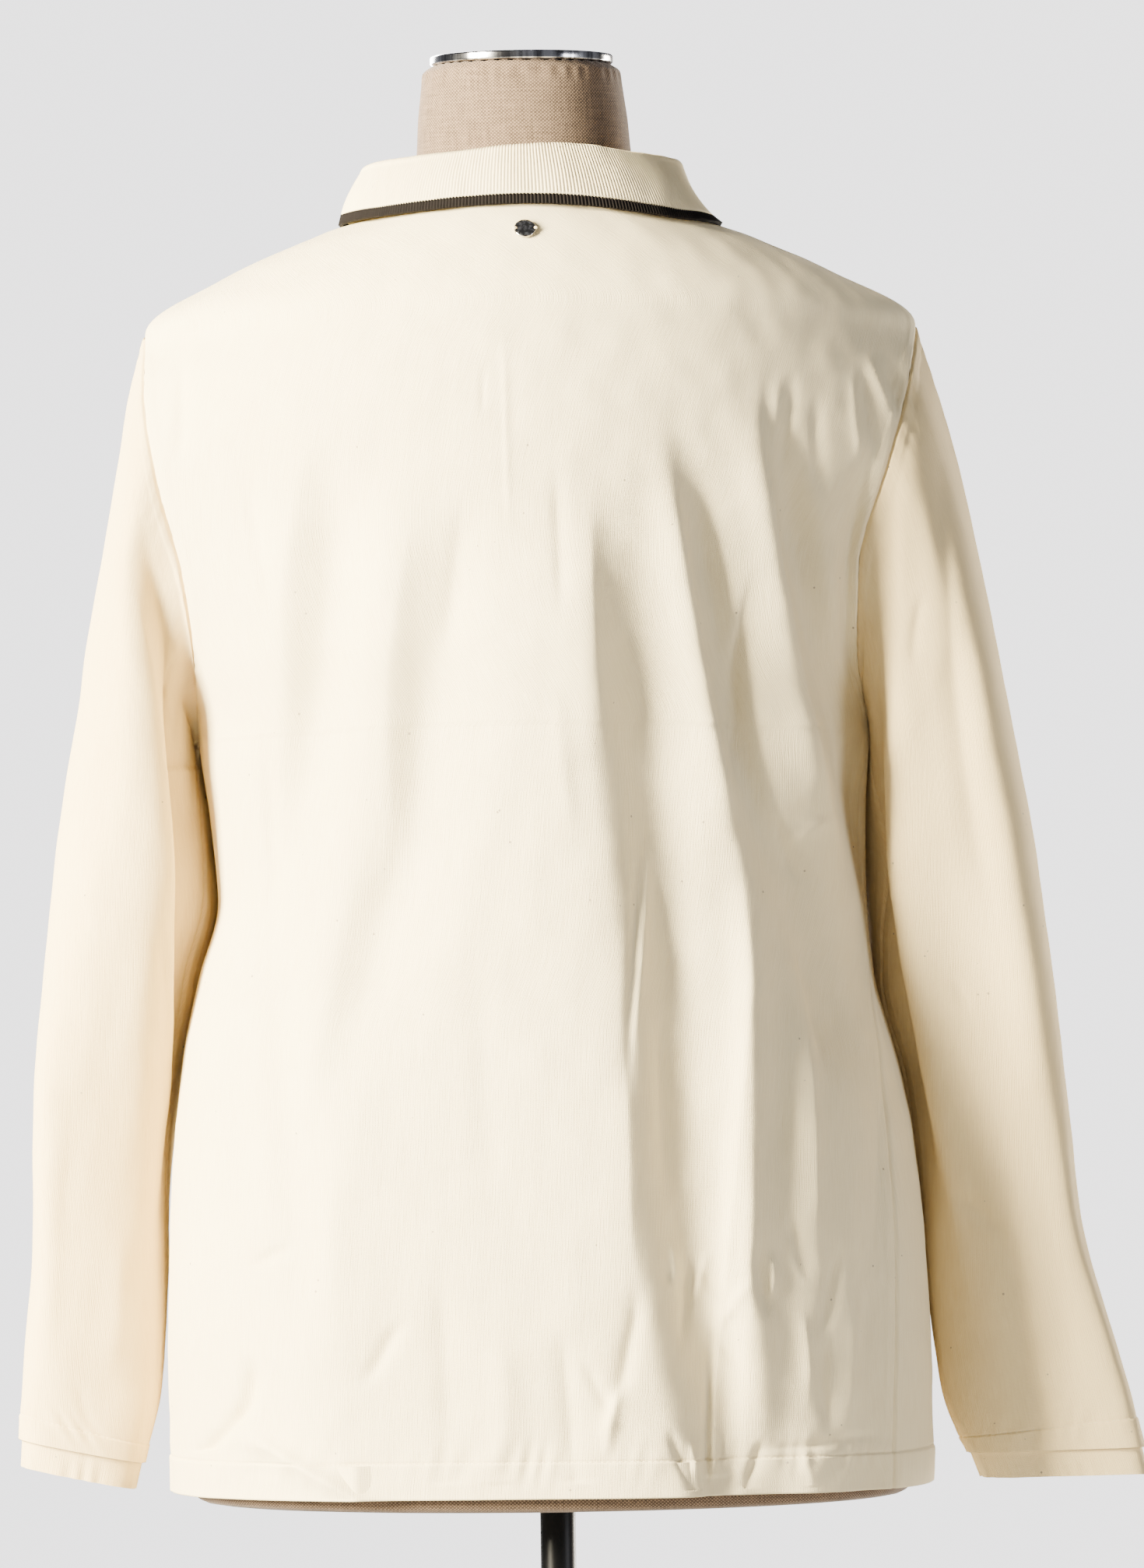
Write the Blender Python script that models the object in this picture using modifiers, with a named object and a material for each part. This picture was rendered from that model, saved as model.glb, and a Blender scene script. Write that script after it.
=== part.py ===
"""Long-sleeve polo shirt on a limbless dress form with a round-based stand.

Frame: metres, +Z up, origin on the floor under the middle of the base. The shirt's front faces -Y and the
wearer's left is +X. Every cloth piece is a wall worked out from short tables of sections and folds.
"""

import math

import bmesh
import bpy
import numpy as np
from mathutils import Matrix

# ---------------------------------------------------------------- driving dimensions (metres)
CLOTH = 0.0015  # jersey wall
KNIT = 0.0018  # rib-knit collar wall
SEAM_GAP = 0.0003  # between sewn pieces
SLEEVE_GAP = 0.00035  # between an armhole and its sleeve
HEM_BAND = 0.022  # turned-up hem of the body
CUFF_BAND = 0.017  # turned-up hem of a sleeve
HEM_STEP = 0.0005  # how far a turned-up hem stands proud
LEAN = 0.011  # sideways lean of the form and shirt on the upright pole, metres per metre
FORM_BOTTOM_Z = 0.613
POLE_RADIUS = 0.010
POLE_SIDES = 24

# ---------------------------------------------------------------- sections of the shirt's body
# v runs up a panel from the hem (0) to the neckline (1). A row gives the panel's left and right edge, and
# the middle of the back or front; bow shapes the arc between them (1 an ellipse, 2 a parabola).
V_UNDERARM = 0.58
V_TIP = 0.86
Z_BOW = 2.3  # shape of a row's rise or dip between its edges and its middle
ARMHOLE_STEPS = 10  # rows of a panel along its armhole, and half the columns of a sleeve
SKIRT_ROWS = 14
YOKE_ROWS = 6
BACK_COLUMNS = 19  # over half a panel
FRONT_COLUMNS = 14
EDGE_COLUMNS = ("v", "z_edge", "x_left", "x_right", "y_back", "y_front")
EDGE_ROWS = (
    (0.00, 0.620, 0.2175, 0.2125, -0.002, -0.002),
    (0.10, 0.690, 0.2175, 0.2135, -0.002, -0.002),
    (0.20, 0.760, 0.2150, 0.2110, -0.002, -0.002),
    (0.28, 0.820, 0.2105, 0.2055, -0.002, -0.002),
    (0.34, 0.864, 0.2050, 0.1965, -0.002, -0.002),
    (0.40, 0.908, 0.1950, 0.1860, -0.002, -0.002),
    (0.46, 0.952, 0.1830, 0.1832, -0.002, -0.002),
    (0.52, 1.000, 0.1865, 0.1838, -0.002, -0.002),
    (0.58, 1.042, 0.1915, 0.1865, -0.002, -0.002),
    (0.64, 1.085, 0.1925, 0.1815, 0.030, -0.038),
    (0.70, 1.135, 0.1980, 0.1830, 0.046, -0.054),
    (0.76, 1.190, 0.2110, 0.1995, 0.047, -0.055),
    (0.82, 1.240, 0.2175, 0.2140, 0.028, -0.034),
    (0.86, 1.272, 0.2170, 0.2195, 0.000, 0.000),
    (0.91, 1.302, 0.1730, 0.1730, -0.001, -0.001),
    (0.955, 1.3235, 0.1240, 0.1240, -0.001, -0.001),
    (1.00, 1.339, 0.0800, 0.0800, 0.000, 0.000),
)
MIDDLE_COLUMNS = ("v", "y_mid", "z_mid", "bow")
BACK_ROWS = (
    (0.00, 0.1480, 0.6225, 0.90),
    (0.10, 0.1480, 0.690, 0.90),
    (0.20, 0.1465, 0.760, 0.90),
    (0.34, 0.1390, 0.864, 0.95),
    (0.46, 0.1300, 0.954, 1.00),
    (0.52, 0.1285, 1.004, 1.00),
    (0.58, 0.1290, 1.050, 1.10),
    (0.64, 0.1320, 1.105, 1.60),
    (0.70, 0.1325, 1.160, 2.00),
    (0.76, 0.1280, 1.212, 2.10),
    (0.82, 0.1205, 1.257, 2.00),
    (0.86, 0.1130, 1.285, 1.70),
    (0.91, 0.1005, 1.313, 1.25),
    (0.955, 0.0850, 1.333, 1.10),
    (1.00, 0.0620, 1.345, 1.00),
)
FRONT_ROWS = (
    (0.00, -0.1500, 0.6215, 0.90),
    (0.10, -0.1500, 0.690, 0.90),
    (0.20, -0.1495, 0.760, 0.90),
    (0.34, -0.1480, 0.864, 0.92),
    (0.46, -0.1510, 0.952, 0.95),
    (0.52, -0.1560, 1.000, 0.95),
    (0.58, -0.1590, 1.045, 1.05),
    (0.64, -0.1570, 1.085, 1.50),
    (0.70, -0.1500, 1.125, 1.85),
    (0.76, -0.1400, 1.163, 2.00),
    (0.82, -0.1290, 1.195, 1.90),
    (0.86, -0.1200, 1.215, 1.65),
    (0.91, -0.1070, 1.237, 1.20),
    (0.955, -0.0950, 1.253, 1.10),
    (1.00, -0.0820, 1.266, 1.00),
)

# ---------------------------------------------------------------- folds of the body
# A fold runs down the panel from z_top to z_low through five places across, evenly spaced down it, in
# millimetres. lift is its height (under 0 a trough), left and right its reach towards +X and -X, and top and
# low how much of it is left at its two ends (1 carries on).
FOLD_COLUMNS = ("z_top", "z_low", "x0", "x1", "x2", "x3", "x4", "lift", "left", "right", "top", "low")
BACK_FOLDS = (
    (1.205, 0.620, -38, -44, -57, -56, -83, -8.0, 15, 12, 0, 1.0),
    (1.190, 0.620, -8, -12, -26, -28, -48, 5.0, 52, 20, 0, 1.0),
    (1.215, 0.950, -66, -73, -80, -88, -92, 4.0, 10, 9, 0, 0),
    (1.210, 0.950, -78, -87, -96, -104, -111, -5.0, 8, 9, 0, 0.2),
    (1.235, 0.960, -117, -123, -132, -146, -163, 8.0, 15, 9, 0, 0),
    (1.245, 0.930, -130, -133, -148, -167, -174, -8.0, 9, 13, 0, 0),
    (1.010, 0.840, -110, -118, -128, -142, -154, -6.0, 10, 13, 0, 0),
    (1.010, 0.620, -110, -110, -103, -93, -86, 7.0, 9, 15, 0, 0.7),
    (1.215, 1.010, 113, 127, 136, 134, 148, -3.5, 16, 20, 0, 0),
    (1.200, 0.820, 50, 74, 88, 118, 146, -4.5, 22, 28, 0, 0),
    (0.930, 0.620, 98, 112, 120, 126, 130, 4.0, 30, 26, 0, 1.0),
    (0.880, 0.620, -188, -184, -179, -176, -172, -3.0, 8, 10, 0, 1.0),
)
FRONT_FOLDS = (
    (1.090, 0.620, 84, 94, 101, 107, 112, 8.0, 22, 30, 0, 1.0),
    (1.085, 0.620, -82, -94, -102, -110, -118, 8.0, 30, 20, 0, 1.0),
    (1.060, 0.620, 52, 62, 66, 70, 74, -5.0, 15, 14, 0, 1.0),
    (1.060, 0.620, -46, -58, -62, -68, -76, -5.0, 14, 16, 0, 1.0),
    (1.000, 0.620, 14, 20, 24, 30, 34, 5.0, 18, 22, 0, 1.0),
    (0.980, 0.620, -22, -26, -26, -32, -36, 4.0, 20, 18, 0, 1.0),
    (0.960, 0.620, 146, 148, 150, 152, 156, -4.0, 16, 14, 0, 1.0),
    (1.170, 1.020, 168, 156, 146, 136, 128, 4.0, 12, 12, 0, 0),
    (1.165, 1.020, -166, -154, -144, -134, -126, 4.0, 12, 12, 0, 0),
)
EDGE_FADE = 0.022  # folds die out this near a seam
FOLD_GROW = 0.28  # share of a fold's run over which it grows from nothing
FOLD_STATIONS = np.linspace(0, 1, 5)

# ---------------------------------------------------------------- sections of the sleeves
# s runs down a sleeve from the armhole (0) to the cuff (1). out is its outer rail and in the underarm seam.
SLEEVE_COLUMNS = ("s", "x_out", "z_out", "x_in", "z_in", "y_out", "y_in", "y_half")
LEFT_SLEEVE = (
    (0.00, 0.2170, 1.272, 0.1925, 1.042, -0.004, -0.004, 0.046),
    (0.06, 0.2268, 1.236, 0.1935, 1.032, -0.004, -0.008, 0.050),
    (0.13, 0.2360, 1.190, 0.1930, 1.016, -0.004, -0.012, 0.054),
    (0.22, 0.2470, 1.132, 0.1900, 0.990, -0.004, -0.016, 0.056),
    (0.32, 0.2590, 1.066, 0.1870, 0.952, -0.004, -0.020, 0.056),
    (0.44, 0.2730, 0.990, 0.1975, 0.900, -0.005, -0.026, 0.053),
    (0.56, 0.2830, 0.912, 0.2105, 0.842, -0.006, -0.032, 0.049),
    (0.68, 0.2905, 0.838, 0.2165, 0.780, -0.008, -0.034, 0.044),
    (0.80, 0.2935, 0.764, 0.2195, 0.718, -0.010, -0.030, 0.038),
    (0.90, 0.2985, 0.704, 0.2245, 0.672, -0.012, -0.026, 0.032),
    (1.00, 0.3035, 0.649, 0.2342, 0.634, -0.014, -0.022, 0.026),
)
RIGHT_SLEEVE = (
    (0.00, 0.2195, 1.272, 0.1875, 1.042, -0.004, -0.004, 0.046),
    (0.06, 0.2300, 1.236, 0.1885, 1.032, -0.004, -0.008, 0.050),
    (0.13, 0.2420, 1.190, 0.1880, 1.016, -0.004, -0.012, 0.053),
    (0.22, 0.2540, 1.132, 0.1870, 0.990, -0.004, -0.016, 0.055),
    (0.32, 0.2650, 1.066, 0.1865, 0.952, -0.004, -0.020, 0.055),
    (0.44, 0.2775, 0.990, 0.1880, 0.900, -0.004, -0.026, 0.051),
    (0.56, 0.2865, 0.912, 0.2005, 0.842, -0.004, -0.030, 0.045),
    (0.68, 0.2935, 0.838, 0.2095, 0.780, -0.004, -0.030, 0.038),
    (0.80, 0.3010, 0.764, 0.2140, 0.718, -0.004, -0.026, 0.031),
    (0.90, 0.3170, 0.700, 0.2200, 0.668, -0.004, -0.020, 0.025),
    (1.00, 0.3330, 0.636, 0.2330, 0.634, -0.004, -0.012, 0.020),
)
SLEEVE_BLEND = 0.30  # share of the sleeve over which the armhole's loop becomes the sleeve's own section
SLEEVE_SQUARE = 0.86  # under 1 makes the section boxier than an ellipse
SLEEVE_LENGTH = 0.625  # along the outer side, for the cuff's share of it
SLEEVE_ROWS = 20
SLEEVE_FIRST_ROW = 0.055
SLEEVE_FOLD_START = 0.25  # share of a sleeve fold's run over which it grows
SLEEVE_FOLD_END = 0.35  # share of its run over which it dies out
# A sleeve fold runs along the sleeve at an angle round it, 0 outer, 90 back, 180 underarm, 270 front.
SLEEVE_FOLD_COLUMNS = ("s_top", "a_top", "s_low", "a_low", "lift", "before", "after")
LEFT_SLEEVE_FOLDS = (
    (0.06, 70.0, 0.70, 118.0, 7.0, 26.0, 20.0),
    (0.10, 118.0, 0.50, 146.0, -5.0, 24.0, 24.0),
    (0.10, 300.0, 0.75, 250.0, 5.0, 22.0, 26.0),
    (0.55, 30.0, 0.98, 60.0, 3.0, 22.0, 22.0),
)
RIGHT_SLEEVE_FOLDS = (
    (0.03, 108.0, 0.80, 126.0, 7.0, 22.0, 18.0),
    (0.05, 60.0, 0.75, 50.0, 4.0, 26.0, 22.0),
    (0.06, 140.0, 0.40, 158.0, -5.0, 16.0, 16.0),
    (0.10, 292.0, 0.75, 246.0, 5.0, 24.0, 24.0),
)

# ---------------------------------------------------------------- collar
# Half the collar runs round from the middle of the back (station 0) past the shoulder (0.5) to its front
# end (1). In plan its roll line and outer edge are arcs of half-ellipses, and the edge lies on the body.
ARC_COLUMNS = ("x_half", "y_back", "y_front", "x_end")
ROLL_ARC = dict(zip(ARC_COLUMNS, (0.0885, 0.0680, 0.0865, 0.0070)))
EDGE_ARC = dict(zip(ARC_COLUMNS, (0.1070, 0.0845, 0.1145, 0.0310)))
ROLL_HEIGHT_COLUMNS = ("t", "z")
ROLL_HEIGHTS = (
    (0.00, 1.3720),
    (0.25, 1.3714),
    (0.38, 1.3702),
    (0.50, 1.3660),
    (0.62, 1.3530),
    (0.75, 1.3280),
    (0.88, 1.3000),
    (1.00, 1.2835),
)
ROLL = 0.0022  # radius of the collar's roll, at its middle
ROLL_ANGLES = (-10, 30, 65, 100, 140, 175)
FALL_SHARES = (1 / 3, 2 / 3)  # places between the roll and the dark edge
FALL_BOW = 0.0016  # how far the fall bows out between roll and edge
TIPPING = 0.0055  # width of the dark knitted edge
COLLAR_STEPS = 16  # stations over half the collar
COLLAR_END = 177.0  # degrees round the neckline at which each collar end stops
STAND_RISE = 0.0004  # extra gap over the neckline's top edge
FRONT_RISE = 0.0018  # further rise at the front, over the placket
EDGE_LIFT = 0.0012  # how far the collar's edge stands off the body

# ---------------------------------------------------------------- placket, buttons, badge
PLACKET_HALF = 0.0140
PLACKET_FOOT_V = 0.70
PLACKET_GAP = 0.0004
PLACKET_THICK = 0.0022
BUTTON_GAP = 0.0005
BUTTON_V = (0.965, 0.870, 0.765)
BUTTON_SIDES = 20
DISC_GAP = 0.0006
DISC_V = 0.931
DISC_SIDES = 28
# Profiles of turned pieces, from the axis down the outside and back to the axis.
PROFILE_COLUMNS = ("radius", "height")
BUTTON_PROFILE = (
    (0.0000, 0.0024),
    (0.0049, 0.0024),
    (0.0055, 0.0018),
    (0.0055, 0.0006),
    (0.0047, 0.0000),
    (0.0000, 0.0000),
)
DISC_PROFILE = (
    (0.0000, 0.0020),
    (0.0030, 0.0018),
    (0.0050, 0.0012),
    (0.0062, 0.0004),
    (0.0062, 0.0000),
    (0.0000, 0.0000),
)

# ---------------------------------------------------------------- dress form
CLEARANCE_COLUMNS = ("v", "clear")
CLEARANCE_ROWS = (
    (0.00, 0.0110),
    (0.20, 0.0120),
    (0.34, 0.0150),
    (0.46, 0.0190),
    (0.58, 0.0130),
    (0.70, 0.0110),
    (0.78, 0.0080),
    (0.83, 0.0020),
    (0.86, 0.0008),
    (1.00, 0.0007),
)
NECK_COLUMNS = ("z", "x_half", "y_front", "y_back")
NECK_ROWS = (
    (1.3560, 0.0640, -0.0650, 0.0540),
    (1.3700, 0.0607, -0.0620, 0.0515),
    (1.3900, 0.0592, -0.0600, 0.0500),
    (1.4080, 0.0570, -0.0575, 0.0500),
    (1.4170, 0.0562, -0.0560, 0.0500),
    (1.4215, 0.0500, -0.0500, 0.0480),
)
ARM_BULGE = 0.006  # how far the arm plates swell
FORM_COLUMNS = 13  # over the back, and over the front
FORM_ARC = 78  # degrees either side of the middle that those columns span
FORM_LEVELS = (0, 0.10, 0.20, 0.30, 0.38, 0.46, 0.54, 0.60, 0.66, 0.72, 0.78, 0.83, 0.86, 0.90, 0.95, 1)
FORM_EDGE_COLUMNS = ("share", "rise")  # the rounded lower edge, as a share of the lowest section
FORM_EDGE = ((0.995, 0.0035), (0.97, 0.0010), (0.90, 0.0))
ROUND_SIDES = 48
CAP_PROFILE = (
    (0.0000, 0.0056),
    (0.0507, 0.0056),
    (0.0517, 0.0046),
    (0.0517, 0.0008),
    (0.0509, 0.0000),
    (0.0000, 0.0000),
)
BASE_PROFILE = (
    (0.0000, 0.0140),
    (0.0200, 0.0140),
    (0.1590, 0.0065),
    (0.1650, 0.0040),
    (0.1650, 0.0000),
    (0.0000, 0.0000),
)


# ---------------------------------------------------------------- tables and curves
def table(columns, rows):
    """The rows of a table as {column: array}."""
    return {name: np.array([row[i] for row in rows], float) for i, name in enumerate(columns)}


def curve(x, y, at):
    """A smooth curve through a table's points that never overshoots them."""
    at = np.clip(np.asarray(at, float), x[0], x[-1])
    step = np.diff(x)
    slope = np.diff(y) / step
    turn = slope[:-1] * slope[1:] > 0
    mean = np.where(turn, 2 * slope[:-1] * slope[1:] / np.where(turn, slope[:-1] + slope[1:], 1), 0)
    rate = np.concatenate([[slope[0]], mean, [slope[-1]]])
    i = np.clip(np.searchsorted(x, at) - 1, 0, len(step) - 1)
    t = (at - x[i]) / step[i]
    start = y[i] * (1 + 2 * t) * (1 - t) ** 2 + rate[i] * step[i] * t * (1 - t) ** 2
    return start + y[i + 1] * t**2 * (3 - 2 * t) + rate[i + 1] * step[i] * t**2 * (t - 1)


def ease(t):
    """0 below 0, 1 above 1 and a smooth step between."""
    t = np.clip(t, 0, 1)
    return t * t * (3 - 2 * t)


def unit(vectors):
    """The vectors at length 1."""
    return vectors / np.maximum(np.linalg.norm(vectors, axis=-1, keepdims=True), 1e-12)


def leaning(points):
    """The points moved sideways with the lean of the form on its pole."""
    moved = np.array(points, float)
    moved[..., 0] += LEAN * (moved[..., 2] - FORM_BOTTOM_Z)
    return moved


EDGES = table(EDGE_COLUMNS, EDGE_ROWS)
PANELS = {
    "back": (table(MIDDLE_COLUMNS, BACK_ROWS), table(FOLD_COLUMNS, BACK_FOLDS), "y_back", 1),
    "front": (table(MIDDLE_COLUMNS, FRONT_ROWS), table(FOLD_COLUMNS, FRONT_FOLDS), "y_front", -1),
}


# ---------------------------------------------------------------- the body's surface
def half_width(v, side):
    """From the middle of the shirt to a panel's left (side 1) or right (side -1) edge."""
    return curve(EDGES["v"], EDGES["x_left" if side > 0 else "x_right"], v)


def smooth_body(panel, v, angle):
    """A point of the panel without folds. angle runs from -90 at its right edge to 90 at its left."""
    middle, _, edge_column, _ = PANELS[panel]
    v, angle = np.broadcast_arrays(np.asarray(v, float), np.radians(np.asarray(angle, float)))
    across, bowed = np.sin(angle), np.maximum(np.cos(angle), 0)
    x = across * np.where(across > 0, half_width(v, 1), half_width(v, -1))
    y_edge = curve(EDGES["v"], EDGES[edge_column], v)
    z_edge = curve(EDGES["v"], EDGES["z_edge"], v)
    y_mid, z_mid, bow = (curve(middle["v"], middle[c], v) for c in ("y_mid", "z_mid", "bow"))
    return np.stack(
        [x, y_edge + (y_mid - y_edge) * bowed**bow, z_edge + (z_mid - z_edge) * bowed**Z_BOW], axis=-1
    )


def body_normal(panel, v, angle):
    """The outward direction of the smooth body. At a side or shoulder seam both panels share it."""
    small_v, small_angle = 0.004, 6.0
    v, angle = np.broadcast_arrays(np.asarray(v, float), np.asarray(angle, float))

    def own(name):
        up = smooth_body(name, np.minimum(v + small_v, 1), angle) - smooth_body(
            name, np.maximum(v - small_v, 0), angle
        )
        across = smooth_body(name, v, np.minimum(angle + small_angle, 90)) - smooth_body(
            name, v, np.maximum(angle - small_angle, -90)
        )
        return unit(np.cross(up, across) * PANELS[name][3])

    seam = (np.abs(angle) > 89.9) & ((v <= V_UNDERARM + 1e-6) | (v >= V_TIP - 1e-6))
    mine = own(panel)
    return np.where(seam[..., None], unit(own("back") + own("front")), mine)


def fold_height(panel, points):
    """How far the folds lift the cloth at these points, in metres."""
    folds = PANELS[panel][1]
    x, z = points[..., 0] * 1000, points[..., 2]
    total = np.zeros(x.shape)
    for i in range(len(folds["lift"])):
        f = {name: folds[name][i] for name in FOLD_COLUMNS}
        down = (f["z_top"] - z) / (f["z_top"] - f["z_low"])
        middle = curve(FOLD_STATIONS, np.array([f[f"x{k}"] for k in range(5)]), down)
        away = x - middle
        reach = np.where(away > 0, f["left"], f["right"])
        grow = f["top"] + (1 - f["top"]) * ease(down / FOLD_GROW)
        grow = grow * (f["low"] + (1 - f["low"]) * ease((1 - down) / FOLD_GROW))
        total = total + f["lift"] / 1000 * grow * np.exp(-((away / reach) ** 2))
    return total


def body_point(panel, v, angle, out=0.0, seam_pull=0.0):
    """A point of the folded panel, moved out along its normal. seam_pull draws its seam edges back."""
    base = smooth_body(panel, v, angle)
    v, angle = np.broadcast_arrays(np.asarray(v, float), np.asarray(angle, float))
    side = np.where(angle > 0, 1.0, -1.0)
    edge = smooth_body(panel, v, 90 * side)
    near_edge = ease(np.linalg.norm(base - edge, axis=-1) / EDGE_FADE)
    lift = fold_height(panel, base) * near_edge
    direction = body_normal(panel, v, angle)
    pull = np.zeros(base.shape)
    at_seam = (np.abs(angle) > 89.9) & ((v <= V_UNDERARM + 1e-6) | (v >= V_TIP - 1e-6))
    pull[..., 1] = np.where(at_seam, PANELS[panel][3] * seam_pull, 0)
    return base + direction * (lift + out)[..., None] + pull


def on_body(x, y, out):
    """The point of the upper body over this place in plan, moved out along the normal."""
    panel = "back" if y >= 0 else "front"
    side = 1 if x >= 0 else -1
    low, high = 0.70, 1.0
    while half_width(high, side) < abs(x) and high > low:
        high -= 0.0005
    for _ in range(40):
        v = (low + high) / 2
        angle = math.degrees(math.asin(min(1.0, abs(x) / float(half_width(v, side))))) * side
        here = smooth_body(panel, v, angle)
        if abs(here[1]) > abs(y):
            low = v
        else:
            high = v
    return body_point(panel, v, angle, out)


# ---------------------------------------------------------------- the sleeves' surface
def armhole(side, around):
    """Points, normals and across-seam directions of an armhole, at angles round the sleeve."""
    around = np.asarray(around, float) % 360
    at_back = (around <= 180)[..., None]
    share = np.where(around <= 180, around, 360 - around) / 180
    v = V_TIP + (V_UNDERARM - V_TIP) * share
    edge = np.full(v.shape, 90.0 * side)

    def at(level, angle):
        turned_to = np.full(v.shape, float(angle * side))
        return np.where(
            at_back, smooth_body("back", level, turned_to), smooth_body("front", level, turned_to)
        )

    normals = np.where(at_back, body_normal("back", v, edge), body_normal("front", v, edge))
    run = at(np.minimum(v + 0.004, V_TIP), 90) - at(np.maximum(v - 0.004, V_UNDERARM), 90)
    across = unit(np.cross(run, normals))
    inwards = (across * (at(v, 80) - at(v, 90))).sum(-1, keepdims=True) > 0
    return at(v, 90), normals, np.where(inwards, -across, across)


def sleeve_section(side, rows, s, around):
    """A point of the sleeve's own section at s down it, an angle round it, before it meets the armhole."""
    value = {name: curve(rows["s"], rows[name], s) for name in SLEEVE_COLUMNS[1:]}
    along, across = np.cos(np.radians(around)), np.sin(np.radians(around))
    boxed = [np.sign(c) * np.abs(c) ** SLEEVE_SQUARE for c in (along, across)]
    place = {}
    for axis in "xyz":
        out, inner = value[f"{axis}_out"], value[f"{axis}_in"]
        place[axis] = (out + inner) / 2 + (out - inner) / 2 * boxed[0]
    return np.stack([place["x"] * side, place["y"] + value["y_half"] * boxed[1], place["z"]], axis=-1)


def smooth_sleeve(side, rows, s, around):
    """A point of the sleeve without folds: its section, drawn onto the armhole over its first part."""
    s, around = np.broadcast_arrays(np.asarray(s, float), np.asarray(around, float))
    at_top = armhole(side, around)[0] - sleeve_section(side, rows, np.zeros(s.shape), around)
    left_over = (1 - np.clip(s / SLEEVE_BLEND, 0, 1)) ** 2
    return sleeve_section(side, rows, s, around) + at_top * left_over[..., None]


def sleeve_normal(side, rows, s, around):
    """The outward direction of the smooth sleeve."""
    small_s, small_turn = 0.01, 2.0
    down = smooth_sleeve(side, rows, np.minimum(s + small_s, 1), around) - smooth_sleeve(
        side, rows, np.maximum(s - small_s, 0), around
    )
    turn = smooth_sleeve(side, rows, s, around + small_turn) - smooth_sleeve(
        side, rows, s, around - small_turn
    )
    return unit(np.cross(down, turn) * side)


def sleeve_fold_height(folds, s, around):
    """How far the sleeve's folds lift the cloth, in metres."""
    total = np.zeros(np.broadcast(s, around).shape)
    for i in range(len(folds["lift"])):
        f = {name: folds[name][i] for name in SLEEVE_FOLD_COLUMNS}
        down = (s - f["s_top"]) / (f["s_low"] - f["s_top"])
        middle = f["a_top"] + (f["a_low"] - f["a_top"]) * np.clip(down, 0, 1)
        away = around - middle
        reach = np.where(away > 0, f["after"], f["before"])
        grow = ease(down / SLEEVE_FOLD_START) * ease((1 - down) / SLEEVE_FOLD_END)
        total = total + f["lift"] / 1000 * grow * np.exp(-((away / reach) ** 2))
    return total


# ---------------------------------------------------------------- solids
def add_object(name, mesh_builder, material):
    mesh = bpy.data.meshes.new(name)
    mesh_builder.to_mesh(mesh)
    mesh_builder.free()
    made = bpy.data.objects.new(name, mesh)
    SHIRT.objects.link(made)
    mesh.materials.append(material)
    for polygon in mesh.polygons:
        polygon.use_smooth = True
    mesh.set_sharp_from_angle(angle=math.radians(50))
    return made


def wall(name, outer, inner, material, ring=False):
    """A closed wall between two grids of points. ring joins the last column to the first.

    Seam edges are cut into triangles the same way on a panel and on the sleeve that it meets, from the
    outer point nearer the shoulder, so that the twisted edges run side by side.
    """
    outer, inner = leaning(outer), leaning(inner)
    rows, columns = outer.shape[:2]
    builder = bmesh.new()
    out = [[builder.verts.new(p) for p in row] for row in outer]
    back = [[builder.verts.new(p) for p in row] for row in inner]
    last = columns if ring else columns - 1

    def edge(near, far, turned):
        """Two triangles over a seam edge. near and far are (outer, inner) pairs."""
        for corners in ((near[0], far[0], far[1]), (near[0], far[1], near[1])):
            builder.faces.new(corners[::-1] if turned else corners)

    for r in range(rows - 1):
        for c in range(last):
            n = (c + 1) % columns
            builder.faces.new((out[r][c], out[r][n], out[r + 1][n], out[r + 1][c]))
            builder.faces.new((back[r][c], back[r + 1][c], back[r + 1][n], back[r][n]))
    for c in range(last):
        n = (c + 1) % columns
        here, there = (out[0][c], back[0][c]), (out[0][n], back[0][n])
        if c < columns // 2:
            edge(here, there, True)
        else:
            edge(there, here, False)
        builder.faces.new((out[-1][c], out[-1][n], back[-1][n], back[-1][c]))
    if not ring:
        for r in range(rows - 1):
            edge((out[r + 1][0], back[r + 1][0]), (out[r][0], back[r][0]), True)
            edge((out[r + 1][-1], back[r + 1][-1]), (out[r][-1], back[r][-1]), False)
    if builder.calc_volume(signed=True) < 0:
        bmesh.ops.reverse_faces(builder, faces=builder.faces)
    return add_object(name, builder, material)


def loft(name, rings, material):
    """A closed solid through rings of points, capped at both ends."""
    rings = [leaning(ring) for ring in rings]
    builder = bmesh.new()
    made = [[builder.verts.new(p) for p in ring] for ring in rings]
    count = len(made[0])
    for low, high in zip(made, made[1:]):
        for c in range(count):
            n = (c + 1) % count
            builder.faces.new((low[c], low[n], high[n], high[c]))
    for ring, points, turn in ((made[0], rings[0], -1), (made[-1], rings[-1], 1)):
        middle = builder.verts.new(np.mean(points, axis=0))
        for c in range(count):
            pair = (ring[c], ring[(c + 1) % count])[::turn]
            builder.faces.new((*pair, middle))
    if builder.calc_volume(signed=True) < 0:
        bmesh.ops.reverse_faces(builder, faces=builder.faces)
    return add_object(name, builder, material)


def turned(name, profile, steps, material):
    """A turned solid: the profile runs down from the axis over the outside, as radius and height."""
    mesh = bpy.data.meshes.new(name)
    points = [(r, 0, z) for r, z in profile]
    mesh.from_pydata(points, [(i, i + 1) for i in range(len(points) - 1)], [])
    made = bpy.data.objects.new(name, mesh)
    SHIRT.objects.link(made)
    mesh.materials.append(material)
    screw = made.modifiers.new("turn", "SCREW")
    screw.steps = screw.render_steps = steps
    screw.use_merge_vertices = True
    screw.merge_threshold = 0.00002
    screw.use_smooth_shade = False
    return made


def place_on(made, point, direction):
    """Stands a turned piece on a point, with its axis along a direction."""
    up = unit(np.array(direction, float))
    first = unit(np.cross((1.0, 0.0, 0.0), up))
    second = np.cross(up, first)
    made.matrix_world = Matrix([[second[i], -first[i], up[i], point[i]] for i in range(3)] + [[0, 0, 0, 1]])


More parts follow.
